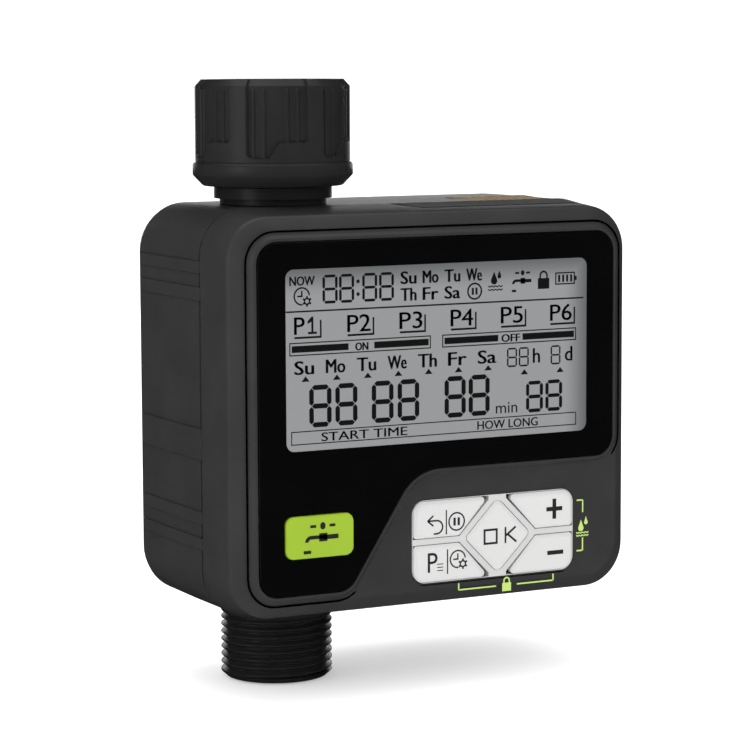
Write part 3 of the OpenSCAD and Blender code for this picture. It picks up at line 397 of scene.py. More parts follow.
class Print:
    """Flat marks on the front, placed from an origin (x, z): u runs right, v runs down, in mm."""

    def __init__(self, x, z):
        self.x = x
        self.z = z
        self.shapes = []

    def poly(self, points):
        self.shapes.append([(self.x + u, self.z - v) for u, v in points])

    def bar(self, u0, v0, u1, v1):
        self.poly([(u0, v0), (u1, v0), (u1, v1), (u0, v1)])

    def frame(self, u0, v0, u1, v1, t):
        self.bar(u0, v0, u1, v0 + t)
        self.bar(u0, v1 - t, u1, v1)
        self.bar(u0, v0 + t, u0 + t, v1 - t)
        self.bar(u1 - t, v0 + t, u1, v1 - t)

    def line(self, a, b, t):
        a, b = Vector(a), Vector(b)
        across = Vector((b.y - a.y, a.x - b.x)).normalized() * t / 2
        self.poly([a + across, b + across, b - across, a - across])

    def arc(self, u, v, r, t, start=0, end=360, squeeze=1.0):
        """Part of a ring, as one strip of four-sided shapes. Angles in degrees, 90 is up."""
        count = max(3, ceil(abs(end - start) / 12))
        rim = [radians(start + (end - start) * k / count) for k in range(count + 1)]
        for p, q in zip(rim, rim[1:]):
            self.poly([(u + cos(a) * (r + w) * squeeze, v - sin(a) * (r + w))
                       for a, w in ((p, -t / 2), (p, t / 2), (q, t / 2), (q, -t / 2))])

    def one(self, u, v0, v1, t):
        """Digit 1 with a flag and a foot, its stem centred on u."""
        self.bar(u - t / 2, v0, u + t / 2, v1 - t)
        self.bar(u - 1.1, v1 - t, u + 1.1, v1)
        self.poly([(u - t / 2, v0), (u - t / 2, v0 + 1.1), (u - 1.2, v0 + 1.6), (u - 1.2, v0 + 1.0)])

    def disc(self, u, v, r, squeeze=1.0):
        self.poly([(u + cos(k * pi / 12) * r * squeeze, v - sin(k * pi / 12) * r) for k in range(24)])

    def drop(self, u, v, w, h):
        """Water drop, its round foot centred on (u, v)."""
        r = w / 2
        foot = [(u + r * cos(radians(a)), v - r * sin(radians(a))) for a in range(150, 391, 20)]
        self.poly(foot + [(u, v - h + r)])

    def waves(self, u, v, w, t):
        step = w / 8
        for k in range(8):
            rise = 0.16 * w / 4
            a = (u + k * step, v + (rise if k % 2 else -rise))
            b = (u + (k + 1) * step, v + (-rise if k % 2 else rise))
            self.line(a, b, t)

    def eight(self, u, v, w, h, t, gap=0.12):
        """Seven-segment digit with every segment on."""
        half = h / 2
        for row in (0, 1, 2):
            y = v + t / 2 + row * (h - t) / 2
            self.poly([(u + gap + t * 0.5, y), (u + gap + t, y - t / 2), (u + w - gap - t, y - t / 2),
                       (u + w - gap - t * 0.5, y), (u + w - gap - t, y + t / 2), (u + gap + t, y + t / 2)])
        for left in (u + t / 2, u + w - t / 2):
            for top in (v + t * 0.5, v + half):
                bottom = top + half - t * 0.5
                high = top + gap
                low = bottom - gap
                self.poly([(left, high), (left + t / 2, high + t / 2), (left + t / 2, low - t / 2),
                           (left, low), (left - t / 2, low - t / 2), (left - t / 2, high + t / 2)])

    def text(self, words, u0, v0, u1, v1, bold=0.0):
        """Plain lettering stretched to fill a box, and thickened by drawing it twice, bold mm apart."""
        curve = bpy.data.curves.new("words", "FONT")
        curve.body = words
        curve.resolution_u = 3
        carrier = bpy.data.objects.new("words", curve)
        bpy.context.scene.collection.objects.link(carrier)
        bpy.context.view_layer.update()
        mesh = bpy.data.meshes.new_from_object(carrier)
        bpy.data.objects.remove(carrier)
        low = [min(v.co[k] for v in mesh.vertices) for k in (0, 1)]
        high = [max(v.co[k] for v in mesh.vertices) for k in (0, 1)]
        wide = (u1 - u0 - bold) / (high[0] - low[0])
        tall = (v1 - v0) / (high[1] - low[1])
        for shift in (0.0, bold) if bold else (0.0,):
            for face in mesh.polygons:
                corners = [mesh.vertices[i].co for i in face.vertices]
                self.poly([(u0 + shift + (c.x - low[0]) * wide, v1 - (c.y - low[1]) * tall) for c in corners])
        bpy.data.meshes.remove(mesh)

    def clock(self, u, v, r, t):
        """Clock face with its hands, and a cog over its lower right."""
        self.arc(u, v, r, t, 5, 275)
        self.bar(u - t / 2, v - r * 0.65, u + t / 2, v + t / 2)
        self.bar(u - r * 0.6, v - t / 2, u, v + t / 2)
        cog = (u + r * 0.68, v + r * 0.62)
        self.arc(*cog, r * 0.34, t, 0, 360)
        for k in range(6):
            a = radians(60 * k + 30)
            self.line((cog[0] + cos(a) * r * 0.38, cog[1] + sin(a) * r * 0.38),
                      (cog[0] + cos(a) * r * 0.62, cog[1] + sin(a) * r * 0.62), r * 0.22)

    def pause(self, u, v, r, t):
        self.arc(u, v, r, t)
        self.bar(u - r * 0.42, v - r * 0.45, u - r * 0.12, v + r * 0.45)
        self.bar(u + r * 0.12, v - r * 0.45, u + r * 0.42, v + r * 0.45)

    def lock(self, u, v, w, h, t):
        """Padlock whose body is centred on u with its top at v."""
        self.bar(u - w / 2, v, u + w / 2, v + h)
        self.arc(u, v - w * 0.2, w * 0.3, t, 0, 180)
        for side in (-1, 1):
            self.bar(u + side * w * 0.3 - t / 2, v - w * 0.2, u + side * w * 0.3 + t / 2, v)

    def tap(self, u, v, w, t):
        """Tap seen from the side: handle, body, spout to the left and a drop bar, about a centre u, v."""
        self.bar(u - w * 0.10, v - t * 0.9, u + w * 0.12, v + t * 0.9)
        self.bar(u, v - t * 0.5, u + w * 0.42, v + t * 0.5)
        self.bar(u - w * 0.32, v - t * 0.5, u, v + t * 0.3)
        self.arc(u - w * 0.32, v + t * 0.9, t, t * 0.8, 90, 180)
        self.disc(u, v - t * 2.5, t * 0.8, 0.8)
        for side in (-1, 1):
            self.bar(u + side * w * 0.26 - t * 0.7, v - t * 2.8, u + side * w * 0.26 + t * 0.7, v - t * 2.2)
        self.bar(u - w * 0.52, v + t * 2.7, u - w * 0.32, v + t * 3.4)

    def finish(self, name, body, slot, looks, y, thickness):
        made = Build()
        for shape in self.shapes:
            made.plate([Vector(p) for p in shape], y - thickness, y)
        return made.finish(name, body, slot, looks)


# ---------- front shell and window ----------

WINDOW_STEP_Z = window_hi.z - 53.6
WINDOW_CORNERS = [
    (window_lo.x, window_lo.z, 4.6), (3.2, window_lo.z, 5.0), (20.5, WINDOW_STEP_Z, 12.0),
    (window_hi.x, WINDOW_STEP_Z, 4.6), (window_hi.x, window_hi.z, 4.8), (window_lo.x, window_hi.z, 4.8)]
KEYPAD_X = (web_lo.x + web_hi.x) / 2
KEYPAD_Z = (web_lo.z + web_hi.z) / 2
KEYPAD_W = web_hi.x - web_lo.x - 2 * WEB_FLANGE
KEYPAD_H = web_hi.z - web_lo.z - 2 * WEB_FLANGE
KEYPAD_R = 3.4
BUTTON_X = (button_lo.x + button_hi.x) / 2
BUTTON_Z = (button_lo.z + button_hi.z) / 2
BUTTON_W = button_hi.x - button_lo.x - 2 * BUTTON_FLANGE
BUTTON_H = button_hi.z - button_lo.z - 2 * BUTTON_FLANGE
BUTTON_R = 2.0


def make_front_shell():
    outside = soften([
        (SEAM_Y, 0.0, 0.0, CORNER_R), (CREASE_Y, *CREASE_IN, CORNER_R - 1), (LIP_Y, 4.5, 5.0, CORNER_R - 2.7),
        (LIP_Y, 5.6, 6.1, CORNER_R - 3.8)], [0.8, 1.0])[1:]
    shell = Build()
    edge = ((0.35, 0.0), (0.1, 0.05), (0.02, 0.15), (0.0, 0.35))
    rings = [seam_ring(inset, ahead) for inset, ahead in edge]
    rings += [at_y(housing_outline(s[1], s[2], s[3]), s[0]) for s in outside]
    seam, lip = shell.loft(rings)
    inside = [(CREASE_Y, WALL + 1, CORNER_R - 3), (POCKET_Y + 1.6, WALL + 4, 6)]
    hollow = [at_y(housing_outline(inset, inset, r), y) for y, inset, r in inside]
    inner, floor = shell.loft([seam_ring(WALL, 0.0)] + hollow)
    shell.band(seam, inner)
    shell.cap(floor)
    bezel = soften([
        (2.6, LIP_Y), (1.75, LIP_Y), (0.75, WINDOW_Y + 0.2), (0.12, WINDOW_Y + 0.2), (0.1, POCKET_Y)],
        [0.5, 0.35, 0.25])
    rim, pocket = shell.loft([at_y(rounded(WINDOW_CORNERS, grow), y) for grow, y in bezel])
    shell.cap(pocket)
    keypad = rect_corners(KEYPAD_X, KEYPAD_Z, KEYPAD_W + 0.3, KEYPAD_H + 0.3, KEYPAD_R)
    well = soften([(0.45, LIP_Y), (0.0, LIP_Y), (0.0, LIP_Y + 2)], [0.3])
    mouth, bottom = shell.loft([at_y(rounded(keypad, grow), y) for grow, y in well])
    shell.cap(bottom)
    shell.fill([lip, rim, mouth], (0, -1, 0))
    return shell.finish("front_shell_skin", "housing", "shell", LOOKS["shell"], ["front_shell"])


def make_window():
    glass = Build()
    edge = soften([(-0.05, POCKET_Y), (-0.05, WINDOW_Y), (-1.0, WINDOW_Y)], [0.35])
    back, face = glass.loft([at_y(rounded(WINDOW_CORNERS, grow), y) for grow, y in edge])
    holes = [lcd_corners(0.0), rect_corners(BUTTON_X, BUTTON_Z, BUTTON_W + 0.5, BUTTON_H + 0.5, BUTTON_R)]
    fronts = [face]
    backs = [back]
    for corners in holes:
        front_ring, back_ring = glass.loft([at_y(rounded(corners), y) for y in (WINDOW_Y, POCKET_Y)])
        fronts.append(front_ring)
        backs.append(back_ring)
    glass.fill(fronts, (0, -1, 0))
    glass.fill(backs, (0, 1, 0))
    return glass.finish("window_pane", "housing", "window", LOOKS["window"], ["display_window"])


# ---------- display ----------

LCD_X = (lcd_lo.x + lcd_hi.x) / 2
LCD_Z = (lcd_lo.z + lcd_hi.z) / 2
LCD_W = lcd_hi.x - lcd_lo.x - 2 * LCD_MARGIN
LCD_H = lcd_hi.z - lcd_lo.z - 2 * LCD_MARGIN


def lcd_corners(grow):
    return rect_corners(LCD_X, LCD_Z, LCD_W + 2 * grow, LCD_H + 2 * grow, 2.0)


def make_lcd():
    face = Build()
    face.plate(rounded(lcd_corners(-0.02)), WINDOW_Y + 0.05, POCKET_Y)
    return face.finish("lcd_face", "housing", "lcd", LOOKS["lcd"], ["lcd_panel"])


def print_lcd():
    marks = Print(LCD_X - LCD_W / 2, LCD_Z + LCD_H / 2)
    days = ["Su", "Mo", "Tu", "We", "Th", "Fr", "Sa"]
    marks.text("NOW", 1.0, 1.6, 7.4, 3.7, 0.15)
    marks.clock(4.1, 6.1, 1.9, 0.35)
    for u in (9.3, 13.5, 19.4, 23.7):
        marks.eight(u, 1.5, 3.8, 6.5, 0.62)
    for v in (3.3, 6.2):
        marks.disc(18.3, v, 0.42)
    for k, day in enumerate(days):
        u = 29.2 + 5.75 * (k % 4)
        v = 1.5 + 3.85 * (k // 4)
        marks.text(day, u, v, u + 4.2, v + 2.9, 0.25)
    marks.pause(48.7, 6.8, 1.8, 0.4)
    marks.drop(53.9, 4.6, 1.7, 3.0)
    marks.drop(55.3, 3.6, 1.0, 1.9)
    marks.waves(52.3, 5.9, 3.9, 0.25)
    marks.waves(52.3, 6.7, 3.9, 0.25)
    marks.tap(61.6, 4.9, 5.6, 0.75)
    marks.lock(67.3, 4.5, 3.1, 2.5, 0.42)
    marks.frame(70.5, 3.3, 75.9, 6.2, 0.3)
    marks.bar(75.9, 4.3, 76.4, 5.3)
    for k in range(4):
        marks.bar(71.3 + 1.1 * k, 3.9, 71.85 + 1.1 * k, 5.6)
    marks.bar(0.1, 9.35, LCD_W - 0.9, 9.7)
    for k in range(6):
        u = 2.1 + 13.4 * k
        if k:
            marks.text("P%d" % (k + 1), u, 10.8, u + 6.0, 14.7, 0.1)
        else:
            marks.text("P", u, 10.8, u + 2.7, 14.7, 0.1)
            marks.one(u + 4.6, 10.8, 14.7, 0.5)
        marks.bar(u + 0.1, 15.2, u + 6.9, 15.65)
        marks.bar(u + 6.5, 11.6, u + 6.9, 15.2)
    for u, label in ((0.9, "ON"), (40.1, "OFF")):
        marks.frame(u, 16.5, u + 36.2, 19.5, 0.25)
        marks.bar(u + 0.6, 17.25, u + 14.9, 18.75)
        marks.bar(u + 21.5, 17.25, u + 35.6, 18.75)
        middle = u + 18.3
        reach = 0.85 * len(label)
        marks.text(label, middle - reach, 17.2, middle + reach, 19.0, 0.2)
    for k, day in enumerate(days):
        u = 2.1 + 7.9 * k
        marks.text(day, u, 20.7, u + 5.0, 23.8, 0.25)
        marks.poly([(u + 1.8, 25.4), (u + 3.8, 25.4), (u + 2.8, 24.2)])
    for u in (57.4, 60.6, 69.3):
        marks.eight(u, 20.5, 2.7, 4.5, 0.38, 0.06)
    marks.text("h", 64.4, 20.9, 66.4, 24.3, 0.15)
    marks.text("d", 73.2, 20.9, 75.3, 24.3, 0.15)
    for u in (61.1, 70.9):
        marks.poly([(u, 26.9), (u + 2.0, 26.9), (u + 1.0, 25.7)])
    for u in (5.8, 12.4, 21.7, 28.4, 40.7, 47.1):
        marks.eight(u, 26.3, 5.6, 9.6, 1.12)
    for u in (62.6, 67.9):
        marks.eight(u, 28.6, 4.6, 7.4, 0.85)
    marks.text("min", 54.4, 33.2, 60.2, 35.7)
    marks.frame(1.2, 36.6, 76.4, 39.7, 0.22)
    marks.text("START TIME", 8.8, 37.2, 30.9, 39.2, 0.1)
    marks.text("HOW LONG", 49.4, 37.2, 65.8, 39.2, 0.1)
    return marks.finish("lcd_marks", "housing", "lcd", LCD_INK, WINDOW_Y + 0.05, 0.02)


# ---------- keys ----------

KEY_Y = web_lo.y - 0.6
KEY_BASE_Y = web_lo.y + 1.2
GROOVE = 1.7
OK_X = (ok_lo.x + ok_hi.x) / 2
OK_HALF = (8.8, 8.9)


def soft_key(name, corners, body, replaced):
    """Key with its upper edge rolled over and its foot spread to meet the web."""
    key = Build()
    profile = soften([(0.0, KEY_BASE_Y), (0.0, web_lo.y - 0.02), (-0.1, web_lo.y - 0.12), (-0.85, KEY_Y),
                      (-1.6, KEY_Y - 0.02)], [0.05, 0.1, 0.6])
    foot, top = key.loft([at_y(rounded(corners, grow), y) for grow, y in profile])
    key.cap(foot)
    key.cap(top)
    return key.finish(name, body, "key", LOOKS["key"], [replaced])


def corner_key_corners(side, row):
    """Corners of a corner key: side 1 is right, row 1 is upper."""
    edge_x = KEYPAD_X + side * (KEYPAD_W / 2 - 0.25)
    edge_z = KEYPAD_Z + row * (KEYPAD_H / 2 - 0.25)
    mid = KEYPAD_Z + row * GROOVE / 2
    slope = OK_HALF[1] / OK_HALF[0]
    tip = OK_HALF[0] + GROOVE * 1.42
    side_x = OK_X + side * (tip - GROOVE / 2 / slope)
    high_x = OK_X + side * max(tip - (edge_z - KEYPAD_Z) * row / slope, 2.4)
    corners = [
        (edge_x, edge_z, KEYPAD_R - 0.3), (edge_x, mid, 0.9), (side_x, mid, 0.9), (high_x, edge_z, 0.9)]
    return corners if side * row < 0 else corners[::-1]


def make_keys():
    for name, side, row in (("back", -1, 1), ("program", -1, -1), ("plus", 1, 1), ("minus", 1, -1)):
        corners = corner_key_corners(side, row)
        area = sum(a[0] * b[1] - b[0] * a[1] for a, b in zip(corners, corners[1:] + corners[:1]))
        soft_key(f"key_{name}_cap", corners if area > 0 else corners[::-1], f"key_{name}_body", f"key_{name}")
    diamond = [(OK_X, KEYPAD_Z - OK_HALF[1], 1.6), (OK_X + OK_HALF[0], KEYPAD_Z, 1.2),
               (OK_X, KEYPAD_Z + OK_HALF[1], 1.6), (OK_X - OK_HALF[0], KEYPAD_Z, 1.2)]
    soft_key("key_ok_cap", diamond, "key_ok_body", "key_ok")


def print_keys():
    top_y = KEY_Y - 0.02
    ink = {"body_y": top_y, "thickness": 0.03}
    back = Print(KEYPAD_X - KEYPAD_W / 2 + 3.5, KEYPAD_Z + 4.9)
    back.line((0.2, 0), (1.7, -1.2), 0.38)
    back.line((0.2, 0), (1.7, 1.2), 0.38)
    back.bar(0.3, -0.19, 2.6, 0.19)
    back.arc(2.6, 1.55, 1.55, 0.38, -90, 90)
    back.bar(1.8, 2.91, 2.6, 3.29)
    back.bar(5.0, -2.3, 5.3, 3.4)
    back.pause(7.9, 0.6, 2.05, 0.36)
    back.finish("mark_back", "key_back_body", "key", INK, ink["body_y"], ink["thickness"])
    program = Print(KEYPAD_X - KEYPAD_W / 2 + 3.7, KEYPAD_Z - 5.0)
    program.text("P", 0.0, -2.4, 2.6, 2.2)
    for v in (0.3, 1.05, 1.8):
        program.bar(2.5, v, 4.1, v + 0.2)
    program.bar(5.1, -2.9, 5.4, 2.9)
    program.clock(8.0, -0.4, 2.0, 0.34)
    program.finish("mark_program", "key_program_body", "key", INK, ink["body_y"], ink["thickness"])
    ok = Print(OK_X, KEYPAD_Z)
    ok.frame(-4.1, -1.8, -0.3, 1.9, 0.5)
    ok.bar(1.6, -1.9, 2.05, 1.9)
    ok.line((2.0, 0.1), (4.6, -1.8), 0.48)
    ok.line((2.4, -0.2), (4.8, 1.8), 0.48)
    ok.finish("mark_ok", "key_ok_body", "key", INK, ink["body_y"], ink["thickness"])
    plus = Print(KEYPAD_X + KEYPAD_W / 2 - 5.5, KEYPAD_Z + 5.2)
    plus.bar(-2.2, -0.5, 2.2, 0.5)
    plus.bar(-0.5, -2.4, 0.5, -0.5)
    plus.bar(-0.5, 0.5, 0.5, 2.4)
    plus.finish("mark_plus", "key_plus_body", "key", INK, ink["body_y"], ink["thickness"])
    minus = Print(KEYPAD_X + KEYPAD_W / 2 - 5.2, KEYPAD_Z - 5.3)
    minus.bar(-2.2, -0.5, 2.2, 0.5)
    minus.finish("mark_minus", "key_minus_body", "key", INK, ink["body_y"], ink["thickness"])


def make_button():
    corners = rect_corners(BUTTON_X, BUTTON_Z, BUTTON_W, BUTTON_H, BUTTON_R)
    button = Build()
    front_y = button_lo.y
    profile = soften([(0.0, POCKET_Y + 0.6), (0.0, front_y), (-1.2, front_y)], [0.55])
    foot, top = button.loft([at_y(rounded(corners, grow), y) for grow, y in profile])
    button.cap(foot)
    button.cap(top)
    button.finish("button_cap", "button_manual", "lime", LOOKS["lime"], ["manual_button"])
    icon = Print(BUTTON_X, BUTTON_Z)
    icon.tap(0.6, 0.2, 9.4, 1.05)
    icon.finish("mark_tap", "button_manual", "lime", INK, front_y, 0.03)


def print_shell():
    """Lime brackets: lock keys below the keypad, rain delay keys to its right."""
    marks = Print(KEYPAD_X, KEYPAD_Z)
    low = KEYPAD_H / 2 + 2.2
    for start, end, hook in ((-9.4, 0.7, -9.4), (6.4, 16.4, 16.4)):
        marks.bar(start, low, end, low + 0.35)
        marks.bar(hook - 0.18, low - 1.4, hook + 0.18, low + 0.2)
    marks.lock(3.6, low - 0.4, 2.4, 2.0, 0.36)
    right = KEYPAD_W / 2 + 1.2
    for start, end, foot in ((-6.6, -3.6, -6.6), (2.5, 5.6, 5.6)):
        marks.bar(right + 1.5, start, right + 1.85, end)
        marks.bar(right, foot - 0.18, right + 1.6, foot + 0.18)
    marks.drop(right + 1.2, 0.2, 1.5, 2.8)
    marks.drop(right + 2.6, -1.1, 1.0, 2.0)
    marks.waves(right - 0.1, 1.3, 3.4, 0.3)
    marks.waves(right - 0.1, 2.0, 3.4, 0.3)
    marks.finish("shell_marks", "housing", "lime", LIME_INK, LIP_Y, 0.03)


# ---------- turned pieces on the tap line ----------

def turned(build, profile, columns, field):
    """Closed profile of (radius, z, zone) spun about the tap line, with field(zone, z, angle) added."""
    rings = []
    for r, z, zone in profile:
        ring = []
        for k in range(columns):
            angle = 2 * pi * k / columns
            here = r + (field(zone, z, angle) if zone else 0)
            ring.append(Vector((here * cos(angle), here * sin(angle), z)))
        rings.append(ring)
    first, last = build.loft(rings)
    build.band(last, first)


def rows(r0, z0, r1, z1, zone, step):
    """Profile points from one end of a straight line to the other, about step apart."""
    count = max(1, ceil(((r1 - r0) ** 2 + (z1 - z0) ** 2) ** 0.5 / step))
    return [(r0 + (r1 - r0) * k / count, z0 + (z1 - z0) * k / count, zone) for k in range(count + 1)]


def thread_wave(z, angle, phase=0.0):
    """0 at a crest, 1 at a root, with flats on both: one turn of a right-hand thread."""
    turn = (z / PITCH - angle / (2 * pi) + phase) % 1.0
    wave = abs(2 * turn - 1)
    return min(max((wave - 0.12) / 0.76, 0.0), 1.0)


# The nut, in mm down from its mouth
NUT_R = 18.15
NUT_MOUTH_R = 15.1
NUT_GRIP_LOW = -18.7
NUT_RING_TOP = -19.1
NUT_RING_LOW = -22.1
NUT_WASHER_R = 12.8
NUT_WASHER_Z = (-20.2, -15.9)
NUT_NECK_R = 10.7
# Its grip pockets: angles in degrees, the rest in mm
POCKETS = 6
POCKET_START = -135.2
POCKET_ARC = 47.0
POCKET_DEEP = 1.0
POCKET_LOW = -18.05
POCKET_STEP = 3.6
RIB_ANGLES = (4.6, 12.9, 30.8, 38.9)
RIB_TOP = -2.65
RIB_RISE = 0.4


def ease(value):
    value = min(max(value, 0.0), 1.0)
    return value * value * (3 - 2 * value)


def corner_lift(along, r):
    """How far a corner of radius r lifts the pocket's lower edge, along mm from the pocket's side."""
    along = min(max(along, 0.0), r)
    return r - (r * r - (r - along) ** 2) ** 0.5


def nut_field(zone, z, angle):
    if zone == "bore":
        fade = ease((z + 15.4) / 1.5) * ease(-z / 1.2 + 0.1)
        return THREAD_DEPTH * (1 - thread_wave(z, angle)) * fade
    at = (degrees(angle) - POCKET_START) % (360.0 / POCKETS)
    if at > POCKET_ARC:
        return 0.0
    per_degree = radians(NUT_R)
    left = at * per_degree
    right = (POCKET_ARC - at) * per_degree
    step = POCKET_STEP * min(max((at - 17.0) / 7.1, 0.0), 1.0)
    low = POCKET_LOW + step + corner_lift(left, 1.6) + corner_lift(right, 1.3)
    sunk = ease(left / 0.3) * ease(right / 0.3) * ease((z - low) / 0.3)
    above = max(z - RIB_TOP, 0.0)
    near = min(((at - middle) * per_degree) ** 2 for middle in RIB_ANGLES)
    rib = ease((0.62 - (near + above * above) ** 0.5) / 0.32)
    return sunk * (RIB_RISE * rib - POCKET_DEEP)


def make_nut():
    bottom = nut_lo.z
    ring_r = (nut_hi.x - nut_lo.x) / 2
    thread_r = THREAD_R - THREAD_DEPTH
    grip = (
        rows(NUT_MOUTH_R - 0.2, 0.0, NUT_MOUTH_R, 0.0, "", 0.2)
        + rows(NUT_R - 1.5, 0.0, NUT_R - 1.4, -0.05, "grip", 0.2)
        + rows(NUT_R - 1.25, -0.25, NUT_R - 0.05, -1.55, "grip", 0.25)
        + rows(NUT_R, -1.7, NUT_R, NUT_GRIP_LOW, "grip", 0.2)
        + rows(NUT_R, NUT_GRIP_LOW - 0.25, NUT_R - 0.1, NUT_RING_TOP, "", 0.3))
    ring = (
        rows(ring_r - 0.2, NUT_RING_TOP - 0.4, ring_r, NUT_RING_TOP - 0.75, "", 0.3)
        + rows(ring_r, NUT_RING_LOW, ring_r - 0.15, NUT_RING_LOW - 0.25, "", 0.3)
        + rows(ring_r - 2.2, bottom + 0.2, ring_r - 2.5, bottom, "", 0.2))
    bore = (
        rows(NUT_NECK_R, bottom, NUT_NECK_R, NUT_WASHER_Z[0], "", 1.0)
        + rows(NUT_WASHER_R, NUT_WASHER_Z[0], NUT_WASHER_R, NUT_WASHER_Z[1], "", 1.0)
        + rows(thread_r, NUT_WASHER_Z[1] + 0.3, thread_r, -0.9, "bore", 0.16)
        + rows(THREAD_R - 0.6, -0.3, THREAD_R, 0.0, "", 0.4))
    profile = grip + ring + bore
    nut = Build()
    turned(nut, profile, 720, nut_field)
    return nut.finish("nut_grip", "nut", "nut", LOOKS["nut"], ["swivel_nut"], smooth=32)


BODY_R = 14.0


def outlet_field(zone, z, angle):
    fade = ease((-125.0 - z) / 1.6) * ease((z - valve_lo.z) / 1.4)
    return -THREAD_DEPTH * thread_wave(z, angle) * fade


def make_outlet():
    end = valve_lo.z
    wall_r = 8.5
    profile = (
        rows(wall_r + 0.5, end, 11.7, end, "", 2.0) + rows(12.0, end + 0.1, THREAD_R, end + 1.2, "", 0.3)
        + rows(THREAD_R, end + 1.4, THREAD_R, rear_lo.z - 0.35, "thread", 0.15)
        + rows(13.6, rear_lo.z - 0.3, 13.6, rear_lo.z + WALL, "", 2)
        + rows(BODY_R, rear_lo.z + WALL + 0.1, BODY_R, valve_hi.z, "", 8)
        + rows(11.1, valve_hi.z, 11.1, -98.5, "", 3) + rows(10.2, -99, 10.2, -118.6, "", 8)
        + rows(wall_r, -118.8, wall_r, end + 0.5, "", 6))
    outlet = Build()
    turned(outlet, profile, 240, outlet_field)
    return outlet.finish("outlet_thread", "housing", "pipe", LOOKS["pipe"], ["valve_body"], smooth=50)


# ---------- rain sensor ----------

def make_sensor_traces():
    """Two gold combs, one finger of each in turn, lying on the tilted plate."""
    low, high = sensor_lo, sensor_hi
    wide = high.x - low.x
    deep = high.y - low.y
    tilt = radians(2.4)
    middle = Vector(((low.x + high.x) / 2, (low.y + high.y) / 2, (low.z + high.z) / 2 + 0.5))
    place = Matrix.Translation(middle) @ Matrix.Rotation(tilt, 4, "X") @ Matrix.Rotation(-pi / 2, 4, "X")
    combs = Build()
    strip = 0.7
    reach_x = wide / 2 - 1.4
    reach_y = deep / 2 - 1.3
    fingers = 9
    for k in range(fingers):
        x = -reach_x + 1.6 + k * (2 * reach_x - 3.2) / (fingers - 1)
        side = 1 if k % 2 else -1
        finger = rectangle(x - strip / 2, side * reach_y, x + strip / 2, -side * (reach_y - 2))
        combs.plate([Vector(p) for p in finger], -0.04, 0.04)
    for side in (-1, 1):
        spine = rectangle(-reach_x, side * reach_y - 0.45, reach_x, side * reach_y + 0.45)
        combs.plate([Vector(p) for p in spine], -0.04, 0.05)
    return combs.finish("sensor_combs", "housing", "gold", TRACE_GOLD, turn=place)


def rectangle(x0, z0, x1, z1):
    return [(x0, z0), (x1, z0), (x1, z1), (x0, z1)]


# ---------- CAD nodes that stay, stage, lights and camera ----------

def dress_cad_nodes():
    """Gives every CAD node its finish, and shades its curved faces smoothly."""
    slots = {s["node"]: s["material_slot"] for s in frame["record"]["subparts"]}
    for name, node in frame["nodes"].items():
        mesh = node.data
        mesh.materials.clear()
        mesh.materials.append(LOOKS[slots[name]])
        mesh.polygons.foreach_set("use_smooth", [True] * len(mesh.polygons))
        weld = node.modifiers.new("weld", "WELD")
        weld.merge_threshold = 0.004 * MM
        creases = node.modifiers.new("creases", "EDGE_SPLIT")
        creases.split_angle = radians(30)
        normals = node.modifiers.new("normals", "WEIGHTED_NORMAL")
        normals.weight = 80


def make_stage():
    size = 6.0
    floor_z = (valve_lo.z - 0.3) * MM
    mesh = bpy.data.meshes.new("floor")
    corners = [(x, z, floor_z) for x, z in rectangle(-size, -size, size, size)]
    mesh.from_pydata(corners, [], [(0, 1, 2, 3)])
    floor = bpy.data.objects.new("floor", mesh)
    bpy.context.scene.collection.objects.link(floor)
    pale = surface("floor_white", (0.93, 0.93, 0.93), 0.9, grain=3.0, bump=0.0, mottle=0.01, edge=0.0,
                   specular=0.0)
    shader = pale.node_tree.nodes["Principled BSDF"]
    shader.inputs["Emission Color"].default_value = (1.0, 1.0, 1.0, 1)
    shader.inputs["Emission Strength"].default_value = 0.35
    mesh.materials.append(pale)
    floor.visible_glossy = False


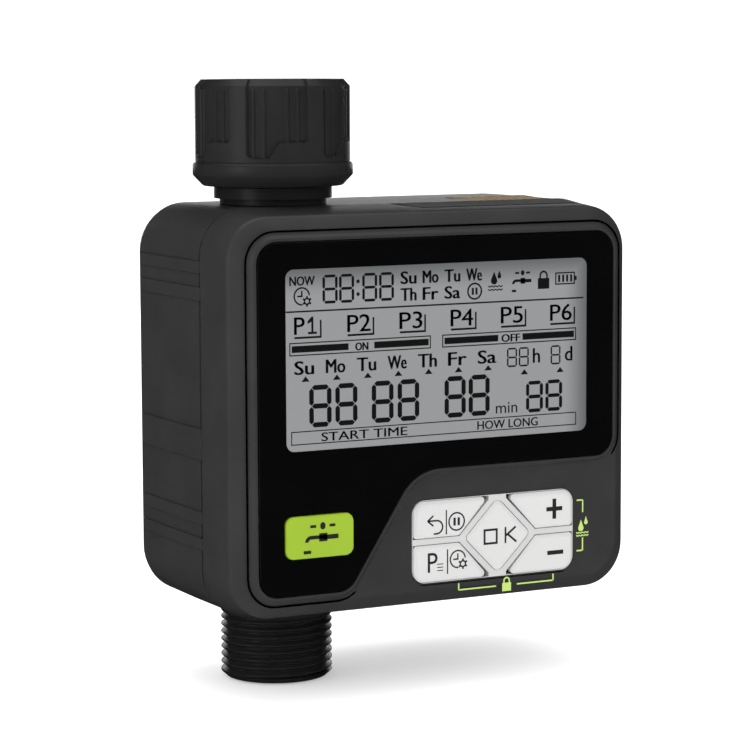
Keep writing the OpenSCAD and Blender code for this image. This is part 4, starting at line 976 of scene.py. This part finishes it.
def area_light(name, place, target, size, power, glossy=True):
    light = bpy.data.lights.new(name, "AREA")
    light.shape = "RECTANGLE"
    light.size, light.size_y = size
    light.energy = power
    lamp = bpy.data.objects.new(name, light)
    lamp.location = Vector(place)
    lamp.rotation_euler = (Vector(target) - Vector(place)).to_track_quat("-Z", "Y").to_euler()
    lamp.visible_camera = False
    lamp.visible_glossy = glossy
    bpy.context.scene.collection.objects.link(lamp)


def light_scene():
    world = bpy.data.worlds.new("studio")
    bpy.context.scene.world = world
    world.use_nodes = True
    backdrop = world.node_tree.nodes["Background"]
    backdrop.inputs["Color"].default_value = (1.0, 1.0, 1.0, 1)
    backdrop.inputs["Strength"].default_value = 1.14
    world.cycles_visibility.glossy = False
    middle = (MID_X * MM, 0.0, MID_Z * MM)
    area_light("top", (0.05, 0.15, 0.75), middle, (0.9, 0.6), 1.6)
    area_light("left", (-0.9, -0.25, 0.05), middle, (0.3, 0.9), 0.85)
    area_light("back", (0.45, 0.9, 0.05), middle, (1.0, 0.2), 1.6)
    bpy.context.scene.view_settings.view_transform = "Standard"


def place_camera():
    """Camera to the front left, a little above, as the reference was taken."""
    eye = Vector((-284.97, -593.12, 4.06)) * MM
    target = Vector((26.86, 0.0, -71.11)) * MM
    roll = radians(-0.23)
    ahead = (target - eye).normalized()
    right = ahead.cross(Vector((0, 0, 1))).normalized()
    up = right.cross(ahead)
    across = right * cos(roll) + up * sin(roll)
    above = up * cos(roll) - right * sin(roll)
    lens = bpy.data.cameras.new("camera")
    lens.sensor_width = 36.0
    lens.lens = 134.31
    lens.clip_start = 0.01
    camera = bpy.data.objects.new("camera", lens)
    camera.matrix_world = Matrix((
        (across.x, above.x, -ahead.x, eye.x), (across.y, above.y, -ahead.y, eye.y),
        (across.z, above.z, -ahead.z, eye.z), (0, 0, 0, 1)))
    bpy.context.scene.collection.objects.link(camera)
    bpy.context.scene.camera = camera


place_camera()
dress_cad_nodes()
make_front_shell()
make_window()
make_lcd()
print_lcd()
make_keys()
print_keys()
make_button()
print_shell()
make_nut()
make_outlet()
make_sensor_traces()
make_stage()
light_scene()
